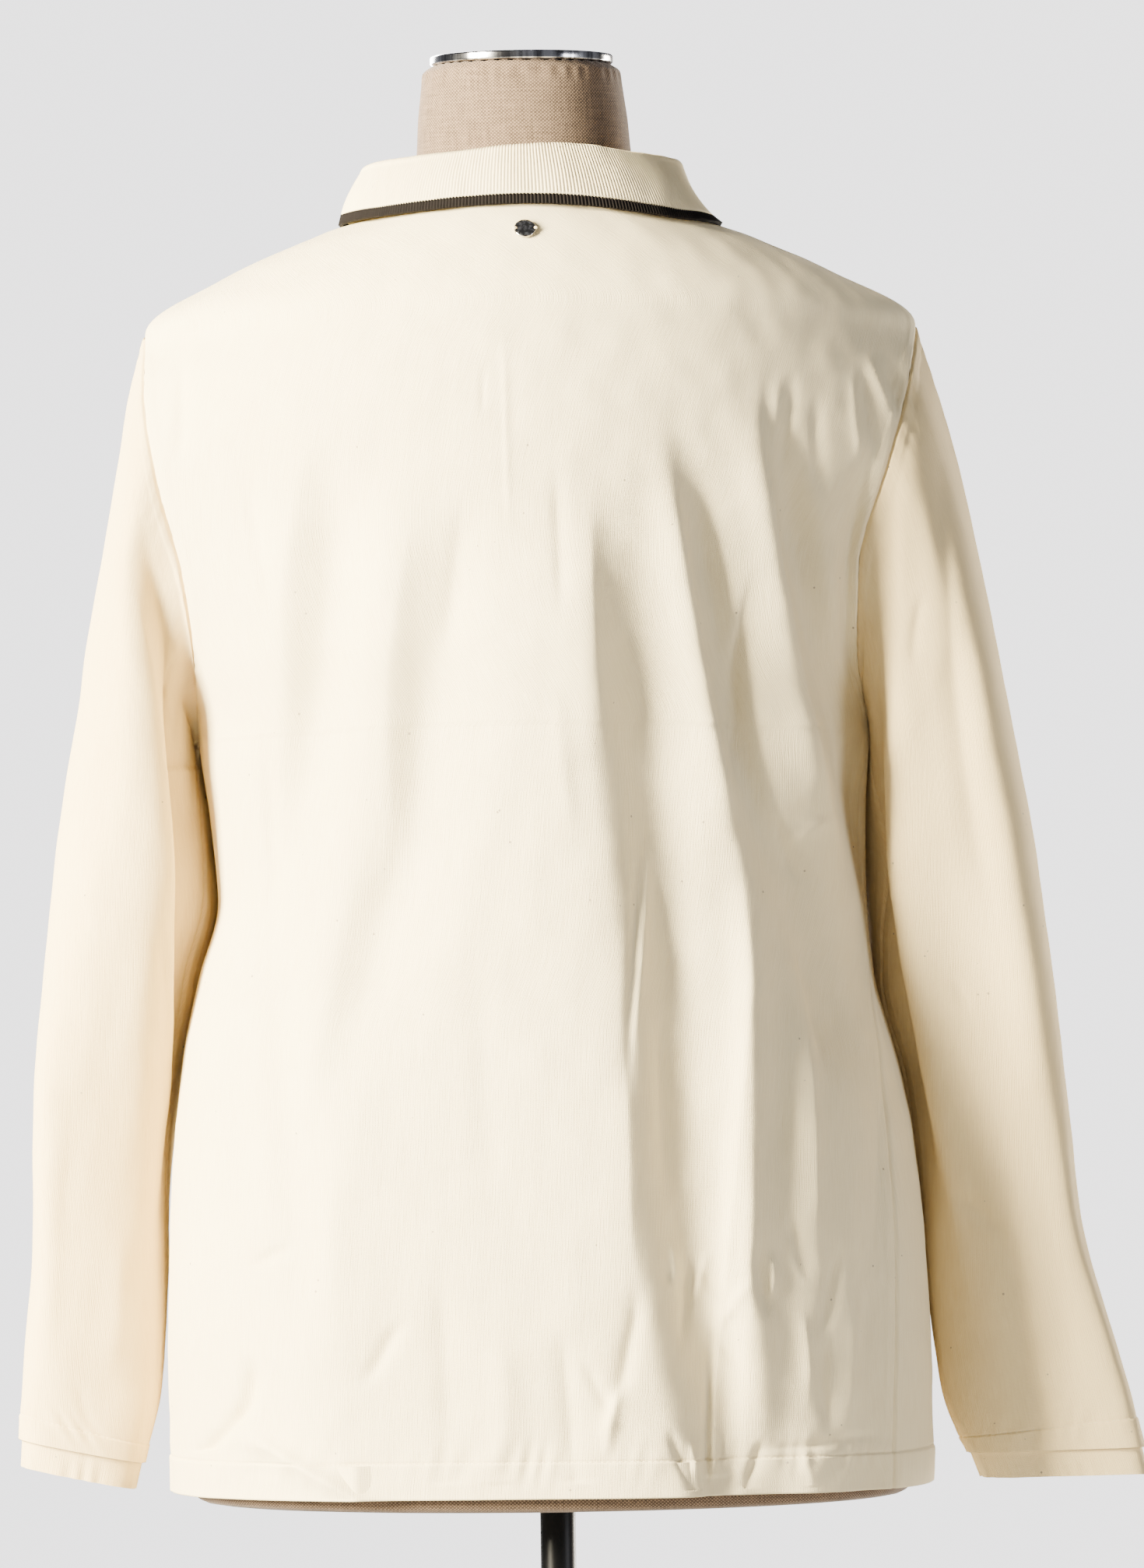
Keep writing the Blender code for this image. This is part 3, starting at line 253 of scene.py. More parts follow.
# Finer folds and creases, in the photograph's pixels: rows it runs between, five places across, lift in
# millimetres, reach to the picture's left and right, sharpness (2 soft, 1 creased) and what is left at its
# ends, which is nothing where a row doesn't say.
CREASE_COLUMNS = (
    "y_top", "y_low", "x0", "x1", "x2", "x3", "x4", "lift", "left", "right", "sharp", "top", "low"
)
BACK_CREASES = (
    (400, 700, 643, 648, 650, 652, 655, 0.8, 3, 5, 1.5),
    (465, 535, 621, 621, 620, 620, 619, -0.9, 3, 4, 1.5),
    (540, 1040, 402, 378, 366, 368, 350, 4.4, 42, 19, 1.5),
    (600, 1200, 540, 514, 498, 500, 440, 4.6, 46, 26, 1.5),
    (1050, 1480, 470, 448, 424, 402, 380, 3.2, 40, 24, 1.6),
    (930, 1210, 340, 342, 344, 347, 350, -2.8, 6, 12, 1.4),
    (610, 790, 316, 324, 333, 343, 351, -1.8, 8, 10, 1.8),
    (450, 615, 235, 233, 231, 229, 227, -2.4, 6, 9, 1.5),
    (580, 810, 714, 716, 718, 720, 721, -1.4, 8, 12, 1.8),
    (620, 1000, 756, 758, 762, 770, 782, 3.5, 40, 15, 1.6),
    (1060, 1360, 840, 836, 828, 820, 812, 1.8, 8, 8, 1.5),
    (1060, 1420, 820, 818, 813, 807, 805, -2.1, 8, 8, 1.6),
    (1320, 1660, 800, 804, 806, 808, 820, 2.0, 34, 12, 1.4),
    (570, 1070, 867, 889, 909, 933, 957, -3.8, 8, 18, 1.4),
    (730, 1030, 966, 956, 950, 949, 954, -4.8, 6, 13, 1.3),
    (480, 1160, 988, 999, 1025, 1061, 1107, -3.4, 8, 16, 1.4),
    (1180, 1400, 1022, 1038, 1049, 1057, 1064, -2.8, 6, 15, 1.4),
    (1050, 1880, 950, 955, 945, 932, 920, 2.6, 10, 15, 1.4, 0, 1.0),
    (1690, 1920, 924, 919, 915, 910, 913, -3.0, 6, 7, 1.4, 0, 0.8),
    (1340, 1730, 999, 989, 981, 977, 987, -3.0, 12, 26, 1.8),
    (1280, 1650, 1030, 1040, 1046, 1048, 1052, 3.2, 30, 11, 1.5),
    (1340, 1630, 1140, 1137, 1134, 1131, 1127, -1.5, 5, 9, 1.4),
    (480, 650, 983, 984, 986, 990, 994, -1.2, 7, 10, 1.5),
    (470, 640, 1001, 1000, 998, 996, 996, 1.08, 9, 9, 1.8),
    (470, 630, 1016, 1017, 1016, 1014, 1011, -1.08, 8, 8, 1.7),
    (475, 670, 1026, 1025, 1022, 1018, 1012, 0.96, 9, 10, 1.8),
    (500, 660, 1048, 1049, 1051, 1055, 1059, -1.8, 8, 9, 1.8),
    (470, 600, 1094, 1096, 1099, 1103, 1108, 1.1, 6, 6, 1.7),
    (462, 600, 1106, 1111, 1117, 1123, 1129, -2.2, 5, 8, 1.5),
    (448, 556, 1110, 1121, 1132, 1143, 1153, 2.4, 7, 8, 1.5),
    (450, 560, 1136, 1144, 1152, 1160, 1168, -3.3, 6, 14, 1.5),
    (560, 920, 1120, 1107, 1098, 1098, 1106, -6.8, 16, 8, 1.6),
    (1598, 1630, 373, 359, 347, 336, 324, -2.5, 5, 7, 1.6),
    (1735, 1862, 318, 323, 319, 300, 268, -6.3, 10, 8, 1.6, 0, 0.6),
    (1828, 1925, 318, 345, 385, 425, 462, 6.5, 18, 10, 1.4, 0.3, 0.8),
    (1690, 1786, 519, 505, 492, 479, 465, -2.2, 9, 10, 1.8),
    (1700, 1900, 640, 646, 650, 648, 642, 2.2, 26, 20, 1.8, 0, 0.4),
    (1640, 1820, 813, 815, 807, 799, 789, -2.7, 12, 12, 1.7),
    (1780, 1880, 792, 788, 784, 780, 778, 1.7, 8, 9, 1.7),
    (1590, 1672, 864, 868, 870, 868, 864, 2.1, 6, 9, 1.6),
    (1612, 1740, 890, 888, 884, 880, 876, -2.4, 7, 9, 1.6),
    (1600, 1676, 913, 911, 907, 903, 899, 1.8, 6, 8, 1.6),
    (1590, 1700, 972, 972, 976, 982, 988, -2.7, 7, 9, 1.6),
    (1606, 1672, 987, 991, 993, 991, 987, 2.1, 5, 8, 1.6),
    (1556, 1650, 1014, 1019, 1026, 1034, 1041, -2.5, 7, 10, 1.6),
    (1590, 1730, 1081, 1074, 1067, 1061, 1056, -2.4, 8, 10, 1.6),
    (1670, 1810, 1027, 1033, 1037, 1039, 1038, 2.2, 10, 9, 1.6),
    (1700, 1850, 1065, 1061, 1059, 1063, 1069, -2.2, 9, 10, 1.6),
    (1650, 1860, 1102, 1104, 1100, 1096, 1094, 2.3, 14, 12, 1.7),
    (1830, 1912, 854, 862, 870, 879, 888, -2.5, 6, 8, 1.5, 0, 0.6),
    (1846, 1900, 884, 888, 890, 892, 894, 1.6, 5, 6, 1.6),
    (1846, 1910, 982, 978, 974, 969, 964, -3.0, 7, 9, 1.5, 0, 0.5),
    (1838, 1866, 1125, 1095, 1067, 1039, 1009, -1.8, 9, 8, 1.6),
    (1860, 1908, 1034, 1036, 1038, 1040, 1042, 1.4, 7, 8, 1.6, 0, 0.4),
    (1290, 1560, 846, 850, 852, 854, 860, -2.4, 10, 16, 1.6),
    (620, 860, 600, 590, 580, 572, 566, -1.6, 12, 20, 1.7),
    (860, 1100, 712, 716, 722, 730, 736, 1.2, 18, 12, 1.7),
    (1180, 1560, 612, 616, 622, 628, 634, -1.4, 22, 26, 1.8),
    (1480, 1800, 420, 424, 430, 434, 440, 1.6, 30, 24, 1.8),
    (1250, 1600, 300, 304, 306, 304, 300, -1.6, 20, 24, 1.8),
    (1600, 1900, 560, 566, 572, 574, 574, -1.8, 16, 24, 1.7, 0, 0.5),
    (1700, 1900, 722, 726, 730, 734, 738, -2.2, 12, 16, 1.6, 0, 0.6),
    (1640, 1790, 1126, 1120, 1114, 1110, 1106, -1.4, 8, 12, 1.6),
    (1045, 1088, 1068, 1054, 1040, 1026, 1012, 1.8, 8, 8, 1.6),
    (1035, 1150, 1000, 1006, 1016, 1030, 1046, -1.6, 6, 8, 1.5),
    (560, 860, 1034, 1048, 1060, 1070, 1080, 2.6, 16, 14, 1.6),
    (1625, 1690, 905, 915, 925, 935, 948, -1.8, 7, 9, 1.6),
    (1640, 1705, 962, 952, 944, 937, 930, 1.6, 7, 8, 1.6),
    (1700, 1770, 915, 925, 938, 950, 960, -1.6, 7, 9, 1.6),
    (1740, 1830, 745, 757, 768, 780, 790, -1.8, 8, 10, 1.6),
    (1770, 1855, 806, 794, 785, 779, 774, 1.6, 8, 9, 1.6),
    (1625, 1665, 838, 852, 862, 876, 892, -1.6, 6, 8, 1.5),
)
EDGE_FADE, CREASE_FADE, UNEVEN_FADE = 0.022, 0.006, 0.01  # from a panel's edge
FOLD_GROW, CREASE_GROW = 0.28, 0.34  # the share of its length over which one grows from an end
FOLD_STATIONS = np.linspace(0, 1, 5)
HEM = {"top": 0.0195, "step": 0.0006, "groove": 0.0005, "pucker": 0.00055, "pitch": 0.0145}
HEM_BEND = 0.0009
HEM_CURL_STEPS = 5
HEM_GAP, HEM_SHORT = 0.0002, 0.001  # inside, from the cloth and below the stitching
BAND_EDGE = 0.0012
PUCKER_REACH = 0.011
DEEPEST = 0.0098  # how far a fold sinks before the linen form holds it off
DEEPEST_GIVE = 0.0009
UNEVEN = ((0.00040, 0.085, 3), (0.00032, 0.030, 4), (0.00013, 0.016, 5))  # height, width, seed
WAVES = 14  # in each layer of unevenness
SEAM_DEPTH = 0.0011
SEAM_WIDTH = 0.0013
STITCH_WIDTH = 0.0008
ALLOWANCE_HIGH, ALLOWANCE_WIDE, ALLOWANCE_EDGE = 0.00045, 0.0095, 0.002
SEAM_V = np.array([0.0, 0.10, 0.20, 0.28, 0.36, 0.42, 0.58])
RIGHT_SEAM = np.array([62.0, 63.5, 66.0, 69.0, 74.0, 82.0, 88.0])
LEFT_SEAM = 88.5
SHARED_FROM = 82  # past this angle the two panels' normals blend into one
STEP_V, STEP_ANGLE = 0.004, 6.0  # for a direction taken from two near points
PANEL_HEIGHT = 0.725
BACK_CELLS = (322, 288)  # across and up
BACK_SAMPLES = 400  # for the length of its section, at each level
WIDEST_STEP = 0.0035  # between the rows or columns of a cloth grid
STEP_GROWTH = 0.75
# From the right side seam, where the folds are finest: up to, widest step.
FOLD_ZONES = ((0.255, 0.0012), (0.335, 0.0017), (1.0, 0.0031))
UP_Z = np.array([0.0, 0.0, 1.0])


def table(columns, rows):
    """The rows of a table as {column: array}."""
    return {name: np.array([row[i] for row in rows], float) for i, name in enumerate(columns)}


def curve(x, y, at):
    """A smooth curve through a table's points that never overshoots them."""
    at = np.clip(np.asarray(at, float), x[0], x[-1])
    step = np.diff(x)
    slope = np.diff(y) / step
    same = slope[:-1] * slope[1:] > 0
    mean = np.where(same, 2 * slope[:-1] * slope[1:] / np.where(same, slope[:-1] + slope[1:], 1), 0)
    rate = np.concatenate([[slope[0]], mean, [slope[-1]]])
    i = np.clip(np.searchsorted(x, at) - 1, 0, len(step) - 1)
    t = (at - x[i]) / step[i]
    start = y[i] * (1 + 2 * t) * (1 - t) ** 2 + rate[i] * step[i] * t * (1 - t) ** 2
    return start + y[i + 1] * t**2 * (3 - 2 * t) + rate[i + 1] * step[i] * t**2 * (t - 1)


def ease(t):
    """0 below 0, 1 above 1 and a smooth step between."""
    t = np.clip(t, 0, 1)
    return t * t * (3 - 2 * t)


def unit(vectors):
    """The vectors at length 1."""
    return vectors / np.maximum(np.linalg.norm(vectors, axis=-1, keepdims=True), 1e-12)


def length_of(vectors):
    """The vectors' lengths."""
    return np.linalg.norm(vectors, axis=-1)


def leaning(points):
    """The points moved sideways with the lean of the form on its pole."""
    moved = np.array(points, float)
    moved[..., 0] += LEAN * (moved[..., 2] - FORM_BOTTOM_Z)
    return moved


def run_to(points, axis=0):
    """How far along a line of points, or along each line of a grid, every point lies."""
    steps = length_of(np.diff(points, axis=axis))
    start = np.zeros_like(np.take(steps, [0], axis=axis))
    return np.concatenate([start, np.cumsum(steps, axis=axis)], axis=axis)


def in_photo(points):
    """Where points, before their lean, lie in the photograph, in its pixels."""
    away = leaning(points) - EYE
    pixels = FOCAL / SENSOR * PHOTO_H / -away[..., 1]
    right, up = -away[..., 0] * pixels, away[..., 2] * pixels
    x = PHOTO_W / 2 + right * math.cos(PICTURE_ROLL) - up * math.sin(PICTURE_ROLL)
    y = PHOTO_H / 2 - right * math.sin(PICTURE_ROLL) - up * math.cos(PICTURE_ROLL)
    return x, y


EDGES = table(EDGE_COLUMNS, EDGE_ROWS)
PANELS = {
    "back": {"rows": BACK_ROWS, "folds": BACK_FOLDS, "edge": "y_back", "facing": 1},
    "front": {"rows": FRONT_ROWS, "folds": FRONT_FOLDS, "edge": "y_front", "facing": -1},
}
MIDDLES = {name: table(MIDDLE_COLUMNS, panel["rows"]) for name, panel in PANELS.items()}


def half_width(v, side):
    """From the middle of the shirt to a panel's left (side 1) or right (side -1) edge."""
    return curve(EDGES["v"], EDGES["x_left" if side > 0 else "x_right"], v)


def smooth_body(panel, v, angle):
    """A point of the panel without folds. angle runs from -90 at its right edge to 90 at its left."""
    v, angle = np.broadcast_arrays(np.asarray(v, float), np.radians(np.asarray(angle, float)))
    across, bowed = np.sin(angle), np.maximum(np.cos(angle), 0)
    x = across * np.where(across > 0, half_width(v, 1), half_width(v, -1))
    y_edge, z_edge = (curve(EDGES["v"], EDGES[column], v) for column in (PANELS[panel]["edge"], "z_edge"))
    middle = MIDDLES[panel]
    y_mid, z_mid, bow = (curve(middle["v"], middle[column], v) for column in ("y_mid", "z_mid", "bow"))
    y = y_edge + (y_mid - y_edge) * bowed**bow
    return np.stack([x, y, z_edge + (z_mid - z_edge) * bowed**Z_BOW], axis=-1)


def body_normal(panel, v, angle):
    """The outward direction of the smooth body. At a side or shoulder seam both panels share it."""
    v, angle = np.broadcast_arrays(np.asarray(v, float), np.asarray(angle, float))

    def own(name):
        """One panel's direction, from small steps up and across it."""
        up = smooth_body(name, np.minimum(v + STEP_V, 1), angle)
        up = up - smooth_body(name, np.maximum(v - STEP_V, 0), angle)
        across = smooth_body(name, v, np.minimum(angle + STEP_ANGLE, 90))
        across = across - smooth_body(name, v, np.maximum(angle - STEP_ANGLE, -90))
        return unit(np.cross(up, across) * PANELS[name]["facing"])

    mine, other = own(panel), own("front" if panel == "back" else "back")
    seamed = (v <= V_UNDERARM + 1e-6) | (v >= V_TIP - 1e-6)
    shared = np.where(seamed, ease((np.abs(angle) - SHARED_FROM) / (90 - SHARED_FROM)), 0)[..., None]
    return unit(mine * (2 - shared) + other * shared)


def one_fold(f, across, down, lean, past, before, grow_over, sharp):
    """The lift of one fold, with down from 0 to 1 along it and its reach past and before its middle."""
    middle = curve(FOLD_STATIONS, np.array([f[f"x{k}"] for k in range(5)], float), down)
    away = (across - middle) / lean
    grow = f["top"] + (1 - f["top"]) * ease(down / grow_over)
    grow = grow * (f["low"] + (1 - f["low"]) * ease((1 - down) / grow_over))
    return f["lift"] * grow * np.exp(-(np.abs(away / np.where(away > 0, past, before)) ** sharp))


def fold_height(panel, points):
    """How far the large folds lift the cloth at these points, in metres."""
    x, z = points[..., 0] * 1000, points[..., 2]
    total = np.zeros(x.shape)
    for row in PANELS[panel]["folds"]:
        f = dict(zip(FOLD_COLUMNS, row))
        down = (f["z_top"] - z) / (f["z_top"] - f["z_low"])
        total = total + one_fold(f, x, down, 1, f["left"], f["right"], FOLD_GROW, 2)
    return total / 1000


def crease_height(creases, points):
    """How far the finer folds, placed in the photograph, lift the cloth at these points, in metres."""
    x, y = in_photo(points)
    total = np.zeros(x.shape)
    for row in creases:
        f = dict(zip(CREASE_COLUMNS, (*row, 0, 0)))
        tall = f["y_low"] - f["y_top"]
        down = (y - f["y_top"]) / tall
        lean = math.hypot(1, (f["x4"] - f["x0"]) / tall)
        lift = one_fold(f, x, down, lean, f["right"], f["left"], CREASE_GROW, f["sharp"])
        beyond = (down < -0.02) & (f["top"] > 0) | (down > 1.02) & (f["low"] > 0)
        total = total + np.where(beyond, 0, lift)
    return total / 1000


def ripples(along, across, pitch, seed):
    """Uneven small waves along a seam, from -1 to 1, for puckers."""
    wander = 0.35 * np.sin(along / pitch * 1.7 + seed) + 0.25 * np.sin(along / pitch * 0.61 + 2.1 * seed)
    strength = 0.6 + 0.4 * np.sin(along / pitch * 0.83 + seed * 1.3)
    return np.sin(2 * math.pi * (along / pitch + wander) + across * 140) * strength


def puckers(distance, along, high, reach, pitch, seed):
    """Uneven small waves that die away with the distance from a seam."""
    return high * np.exp(-((distance / reach) ** 2)) * ripples(along, distance, pitch, seed)


def seam_relief(distance):
    """The profile beside a sewn seam: a narrow groove, then the allowance lying under the cloth."""
    groove = -SEAM_DEPTH * np.exp(-((distance / SEAM_WIDTH) ** 2))
    flat = ease(distance / ALLOWANCE_EDGE) * ease((ALLOWANCE_WIDE - distance) / ALLOWANCE_EDGE)
    return groove + ALLOWANCE_HIGH * flat


def hem_relief(height, along, seed, top, step, groove, pucker, pitch):
    """The profile of a turned-up hem: a proud band, the stitched groove at its top, and puckers."""
    band = step * ease((top + BAND_EDGE / 3 - height) / BAND_EDGE)
    stitched = np.exp(-(((height - top) / STITCH_WIDTH) ** 2))
    near = np.exp(-(((height - top) / PUCKER_REACH) ** 2))
    return band - groove * stitched + pucker * near * ripples(along, height, pitch, seed)


def wrinkle(points, scale, seed):
    """Soft random unevenness from -1 to 1, from waves in many directions."""
    rng = np.random.default_rng(seed)
    total = np.zeros(points.shape[:-1])
    for _ in range(WAVES):
        direction = unit(rng.normal(size=3) * (1, 1, 0.55))
        size = scale * rng.uniform(0.6, 1.9)
        total = total + np.sin(points @ direction * 2 * math.pi / size + rng.uniform(0, 6.3))
    return total / 5.0


def side_seam(v, side):
    """The angle round the body at which a side seam lies: 90 is the side, less is on the back."""
    on_back = curve(SEAM_V, RIGHT_SEAM, v) if side < 0 else LEFT_SEAM
    return np.where(v > V_UNDERARM - 1e-9, 90.0, on_back)


def on_panel(phi):
    """The side of a place round the body, whether it's on the back, and its angle on its own panel."""
    phi = np.where(phi > 180, phi - 360, phi)
    at_back = np.abs(phi) <= 90
    return np.where(phi > 0, 1.0, -1.0), at_back, np.where(at_back, phi, np.sign(phi) * (180 - np.abs(phi)))


def either(at_back, shape, *at):
    """What shape gives for the back panel where at_back is true, and for the front elsewhere."""
    back, front = shape("back", *at), shape("front", *at)
    return np.where(at_back if back.ndim == at_back.ndim else at_back[..., None], back, front)


def body_around(v, phi):
    """Base point, normal and all relief at phi round the body: 0 middle of the back, 180 of the front."""
    side, at_back, turn = on_panel(phi)
    base, normal = (either(at_back, shape, v, turn) for shape in (smooth_body, body_normal))
    inset = length_of(base - either(at_back, smooth_body, v, 90 * side))
    folded = either(at_back, fold_height, base) * ease(inset / EDGE_FADE)
    folded = folded + np.where(at_back, crease_height(BACK_CREASES, base), 0.0) * ease(inset / CREASE_FADE)
    sunk = np.maximum(-folded - DEEPEST, 0)
    folded = np.maximum(folded, -DEEPEST) - DEEPEST_GIVE * np.tanh(sunk / DEEPEST_GIVE)
    seam = np.where(side > 0, side_seam(v, 1), -side_seam(v, -1))
    sewn_at_back = ((v <= V_UNDERARM) | at_back)[..., None]
    seam_point = np.where(sewn_at_back, smooth_body("back", v, seam), smooth_body("front", v, 90 * side))
    to_seam = length_of(base - seam_point)
    in_armhole = (v > V_UNDERARM) & (v < V_TIP)
    pucker = puckers(to_seam, base[..., 2], high=0.00030, reach=0.010, pitch=0.011, seed=1.7)
    height = base[..., 2] - either(at_back, smooth_body, np.zeros(v.shape), turn)[..., 2]
    hem = hem_relief(height, base[..., 0] + 0.6 * base[..., 1], seed=0.9, **HEM)
    uneven = sum(high * wrinkle(base, wide, seed) for high, wide, seed in UNEVEN) * ease(inset / UNEVEN_FADE)
    return base, normal, folded + seam_relief(to_seam) + np.where(in_armhole, pucker, 0) + hem + uneven


def graded(length, count, marks, finest, zones=()):
    """count places from 0 to length, closest at the marks. zones: how far up each goes, its widest step."""
    fine = np.linspace(0, length, 4000)
    spacing = np.full(fine.shape, WIDEST_STEP)
    for limit, step in zones[::-1]:
        spacing[fine <= limit] = step
    for mark in marks:
        spacing = np.minimum(spacing, finest + STEP_GROWTH * np.abs(fine - mark) ** 1.35)
    run = np.concatenate([[0], np.cumsum(1 / spacing[:-1])])
    return np.interp(np.linspace(0, run[-1], count), run, fine)


def grid_mesh(name, points, u, v, ring=False, flip=False):
    """A piece from a grid of points before their lean, mapped in metres. ring joins its two sides."""
    rows, columns = points.shape[:2]
    r, c = np.meshgrid(np.arange(rows - 1), np.arange(columns if ring else columns - 1), indexing="ij")
    corner_r = np.stack([r, r, r + 1, r + 1], axis=-1).reshape(-1, 4)
    corner_c = np.stack([c, c + 1, c + 1, c], axis=-1).reshape(-1, 4)
    if flip:
        corner_r, corner_c = corner_r[:, ::-1], corner_c[:, ::-1]
    quads = corner_r * columns + corner_c % columns
    mesh = bpy.data.meshes.new(name)
    mesh.vertices.add(rows * columns)
    mesh.vertices.foreach_set("co", leaning(points).reshape(-1).astype(np.float32))
    mesh.loops.add(quads.size)
    mesh.loops.foreach_set("vertex_index", quads.reshape(-1).astype(np.int32))
    mesh.polygons.add(len(quads))
    mesh.polygons.foreach_set("loop_start", np.arange(0, quads.size, 4, dtype=np.int32))
    mesh.update(calc_edges=True)
    uv = np.stack(np.broadcast_arrays(u, v), axis=-1)
    if ring:
        uv = np.concatenate([uv, uv[:, :1]], axis=1)
        uv[:, -1, 0] = 2 * uv[:, -2, 0] - uv[:, -3, 0]
    layer = mesh.uv_layers.new(name="cloth")
    layer.data.foreach_set("uv", uv[corner_r, corner_c].reshape(-1).astype(np.float32))
    mesh.polygons.foreach_set("use_smooth", np.ones(len(quads), dtype=bool))
    mesh.validate()
    return linked(name, mesh)


def turned_hem(edge, normals, height, up):
    """Rows that carry a cloth grid from its lower edge round and up its inside, to the hem's height."""
    curl = [math.pi * k / HEM_CURL_STEPS for k in range(1, HEM_CURL_STEPS)]
    made = [edge - normals * HEM_BEND * (1 - math.cos(a)) - up * HEM_BEND * math.sin(a) for a in curl]
    inside = edge - normals * (2 * HEM_BEND + HEM_GAP)
    made.extend(inside + up * (height - HEM_SHORT) * k for k in np.linspace(0, 1, 6))
    return np.array(made[::-1])


def do(operation, a, b=0.0):
    """One step of arithmetic in the current material."""
    return wire("Math", operation=operation, _0=a, _1=b).outputs[0]


def blend(a, share_a, b, share_b):
    """Two values added, each times its share."""
    return do("ADD", do("MULTIPLY", a, share_a), do("MULTIPLY", b, share_b))


def spread(value, low, high):
    """A value from 0 to 1 laid out between two others."""
    return wire("MapRange", Value=value, To_Min=low, To_Max=high).outputs[0]


def bump(height, strength, distance, **more):
    """Small relief from a height."""
    return wire("Bump", Strength=strength, Distance=distance, Height=height, **more).outputs[0]


def cloth_map():
    """Where a point lies on a piece of cloth, in metres along and up it."""
    return wire("UVMap", uv_map="cloth").outputs["UV"]


def stretched(place, scale):
    """A streaky noise: finer or coarser along each axis by its scale."""
    return noise(wire("Mapping", Vector=place, Scale=scale).outputs[0], 1.0, 3.0)


def jersey_material(name, base, streak, wale=0.00082, sheen=0.12, shine=0.22):
    """Fine cotton jersey: lengthwise wales of small loops, faint yarn streaks, slubs and specks."""
    made = new_material(name, Specular_IOR_Level=shine)
    fill(shader, Sheen_Weight=sheen, Sheen_Roughness=0.45, Sheen_Tint=(1.0, 0.96, 0.90, 1))
    on_cloth, on_piece = cloth_map(), own_place()
    parts = wire("SeparateXYZ", _0=on_cloth).outputs
    column = do("FRACT", blend(parts["X"], 1 / wale, noise(on_cloth, 420.0, 2.0), 0.5))
    row = blend(parts["Y"], 1 / (0.8 * wale), do("ABSOLUTE", do("SUBTRACT", column, 0.5)), 1.6)
    rib, loops = (do("SINE", do("MULTIPLY", *turn)) for turn in ((column, math.pi), (row, 2 * math.pi)))
    knit = blend(rib, 0.7, loops, 0.3)
    tone = blend(stretched(on_cloth, (1000.0, 55.0, 1.0)), 0.65, noise(on_piece, 9.0, 4.0), 0.35)
    near_dot = do("LESS_THAN", wire("TexVoronoi", Vector=on_piece, Scale=95.0).outputs["Distance"], 0.065)
    speck = do("MULTIPLY", near_dot, do("GREATER_THAN", noise(on_piece, 60.0, 1.0), 0.60))
    yarn = ramp(tone, [c * k for c, k in zip(base, streak)], base, (0.36, 0.64))
    mixed = wire("Mix", data_type="RGBA", Factor=do("MULTIPLY", speck, 0.8), A=yarn, B=(0.30, 0.24, 0.17, 1))
    relief = bump(tone, 0.35, 0.0010, Normal=bump(knit, 0.8, 0.00022))
    fill(shader, Base_Color=mixed.outputs["Result"], Roughness=spread(knit, 0.80, 0.95), Normal=relief)
    return made


JERSEY = jersey_material("cream_jersey", (0.86, 0.735, 0.46), (0.93, 0.91, 0.87))
# The sleeves are the same jersey as the body. Their warmer, more saturated copy is painted light: a warm glow
# for light passing through the thin sleeves, and warm bounce in their shade.
SLEEVE_JERSEY_PAINTED_GLOW = jersey_material("cream_sleeve_jersey_painted_glow", (0.87, 0.68, 0.36), (0.93, 0.91, 0.87))


def panel_levels(count, finest):
    """Levels up a panel, closest at its lower edge and at the hem's stitching."""
    return graded(PANEL_HEIGHT, count, (0.0, HEM["top"]), finest) / PANEL_HEIGHT


def cloth_panel(name, v_values, phi_low, phi_high, count, samples, finest, zones=()):
    """A body panel as a cloth grid with its turned-up hem, and its outer points and their normals."""
    rows = []
    for v, low, high in zip(v_values, phi_low, phi_high):
        fine = np.linspace(low, high, samples)
        _, at_back, turn = on_panel(fine)
        run = run_to(either(at_back, smooth_body, v, turn))
        rows.append(np.interp(graded(run[-1], count, (0.0, run[-1]), finest, zones), run, fine))
    phi = np.array(rows)
    base, normal, relief = body_around(np.broadcast_to(v_values[:, None], phi.shape), phi)
    surface = base + normal * relief[..., None]
    hem = turned_hem(surface[0], unit(normal[0] * (1, 1, 0)), HEM["top"], UP_Z)
    u = run_to(surface, axis=1)
    u = u - u[:, count // 2 : count // 2 + 1]
    u = np.concatenate([np.tile(u[0], (len(hem), 1)), u])
    rise = np.concatenate([-np.linspace(0.024, 0.001, len(hem)), run_to(surface[:, count // 2])])
    return grid_mesh(name, np.concatenate([hem, surface]), u, rise[:, None], flip=True), surface, normal


back_v = panel_levels(BACK_CELLS[1], 0.0005)
low, high = -side_seam(back_v, -1), side_seam(back_v, 1)
back_cloth, back_surface, back_normals = cloth_panel(
    "back_cloth", back_v, low, high, BACK_CELLS[0], BACK_SAMPLES, 0.0007, FOLD_ZONES
)
back_cloth.data.materials.append(JERSEY)
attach(back_cloth, "root")
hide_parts("back")

# ---------------------------------------------------------------- the front of the shirt
# The front panel, cut wider than the back so that its side seams lie a little towards the back. The picture
# doesn't show it: it hangs from the bust in plain soft folds.
FRONT_CELLS = (190, 230)
FRONT_SAMPLES = 500
FRONT_EDGE = 90.0001  # just past the armhole's edge, where the front has its own
front_v = panel_levels(FRONT_CELLS[1], 0.0006)
low, high = side_seam(front_v, 1), 360 - side_seam(front_v, -1)
low = np.where(front_v > V_UNDERARM, FRONT_EDGE, low)
high = np.where(front_v > V_UNDERARM, 360 - FRONT_EDGE, high)
front_cloth, front_surface, front_normals = cloth_panel(
    "front_cloth", front_v, low, high, FRONT_CELLS[0], FRONT_SAMPLES, 0.0008
)
front_cloth.data.materials.append(JERSEY)
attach(front_cloth, "root")
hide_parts("front")

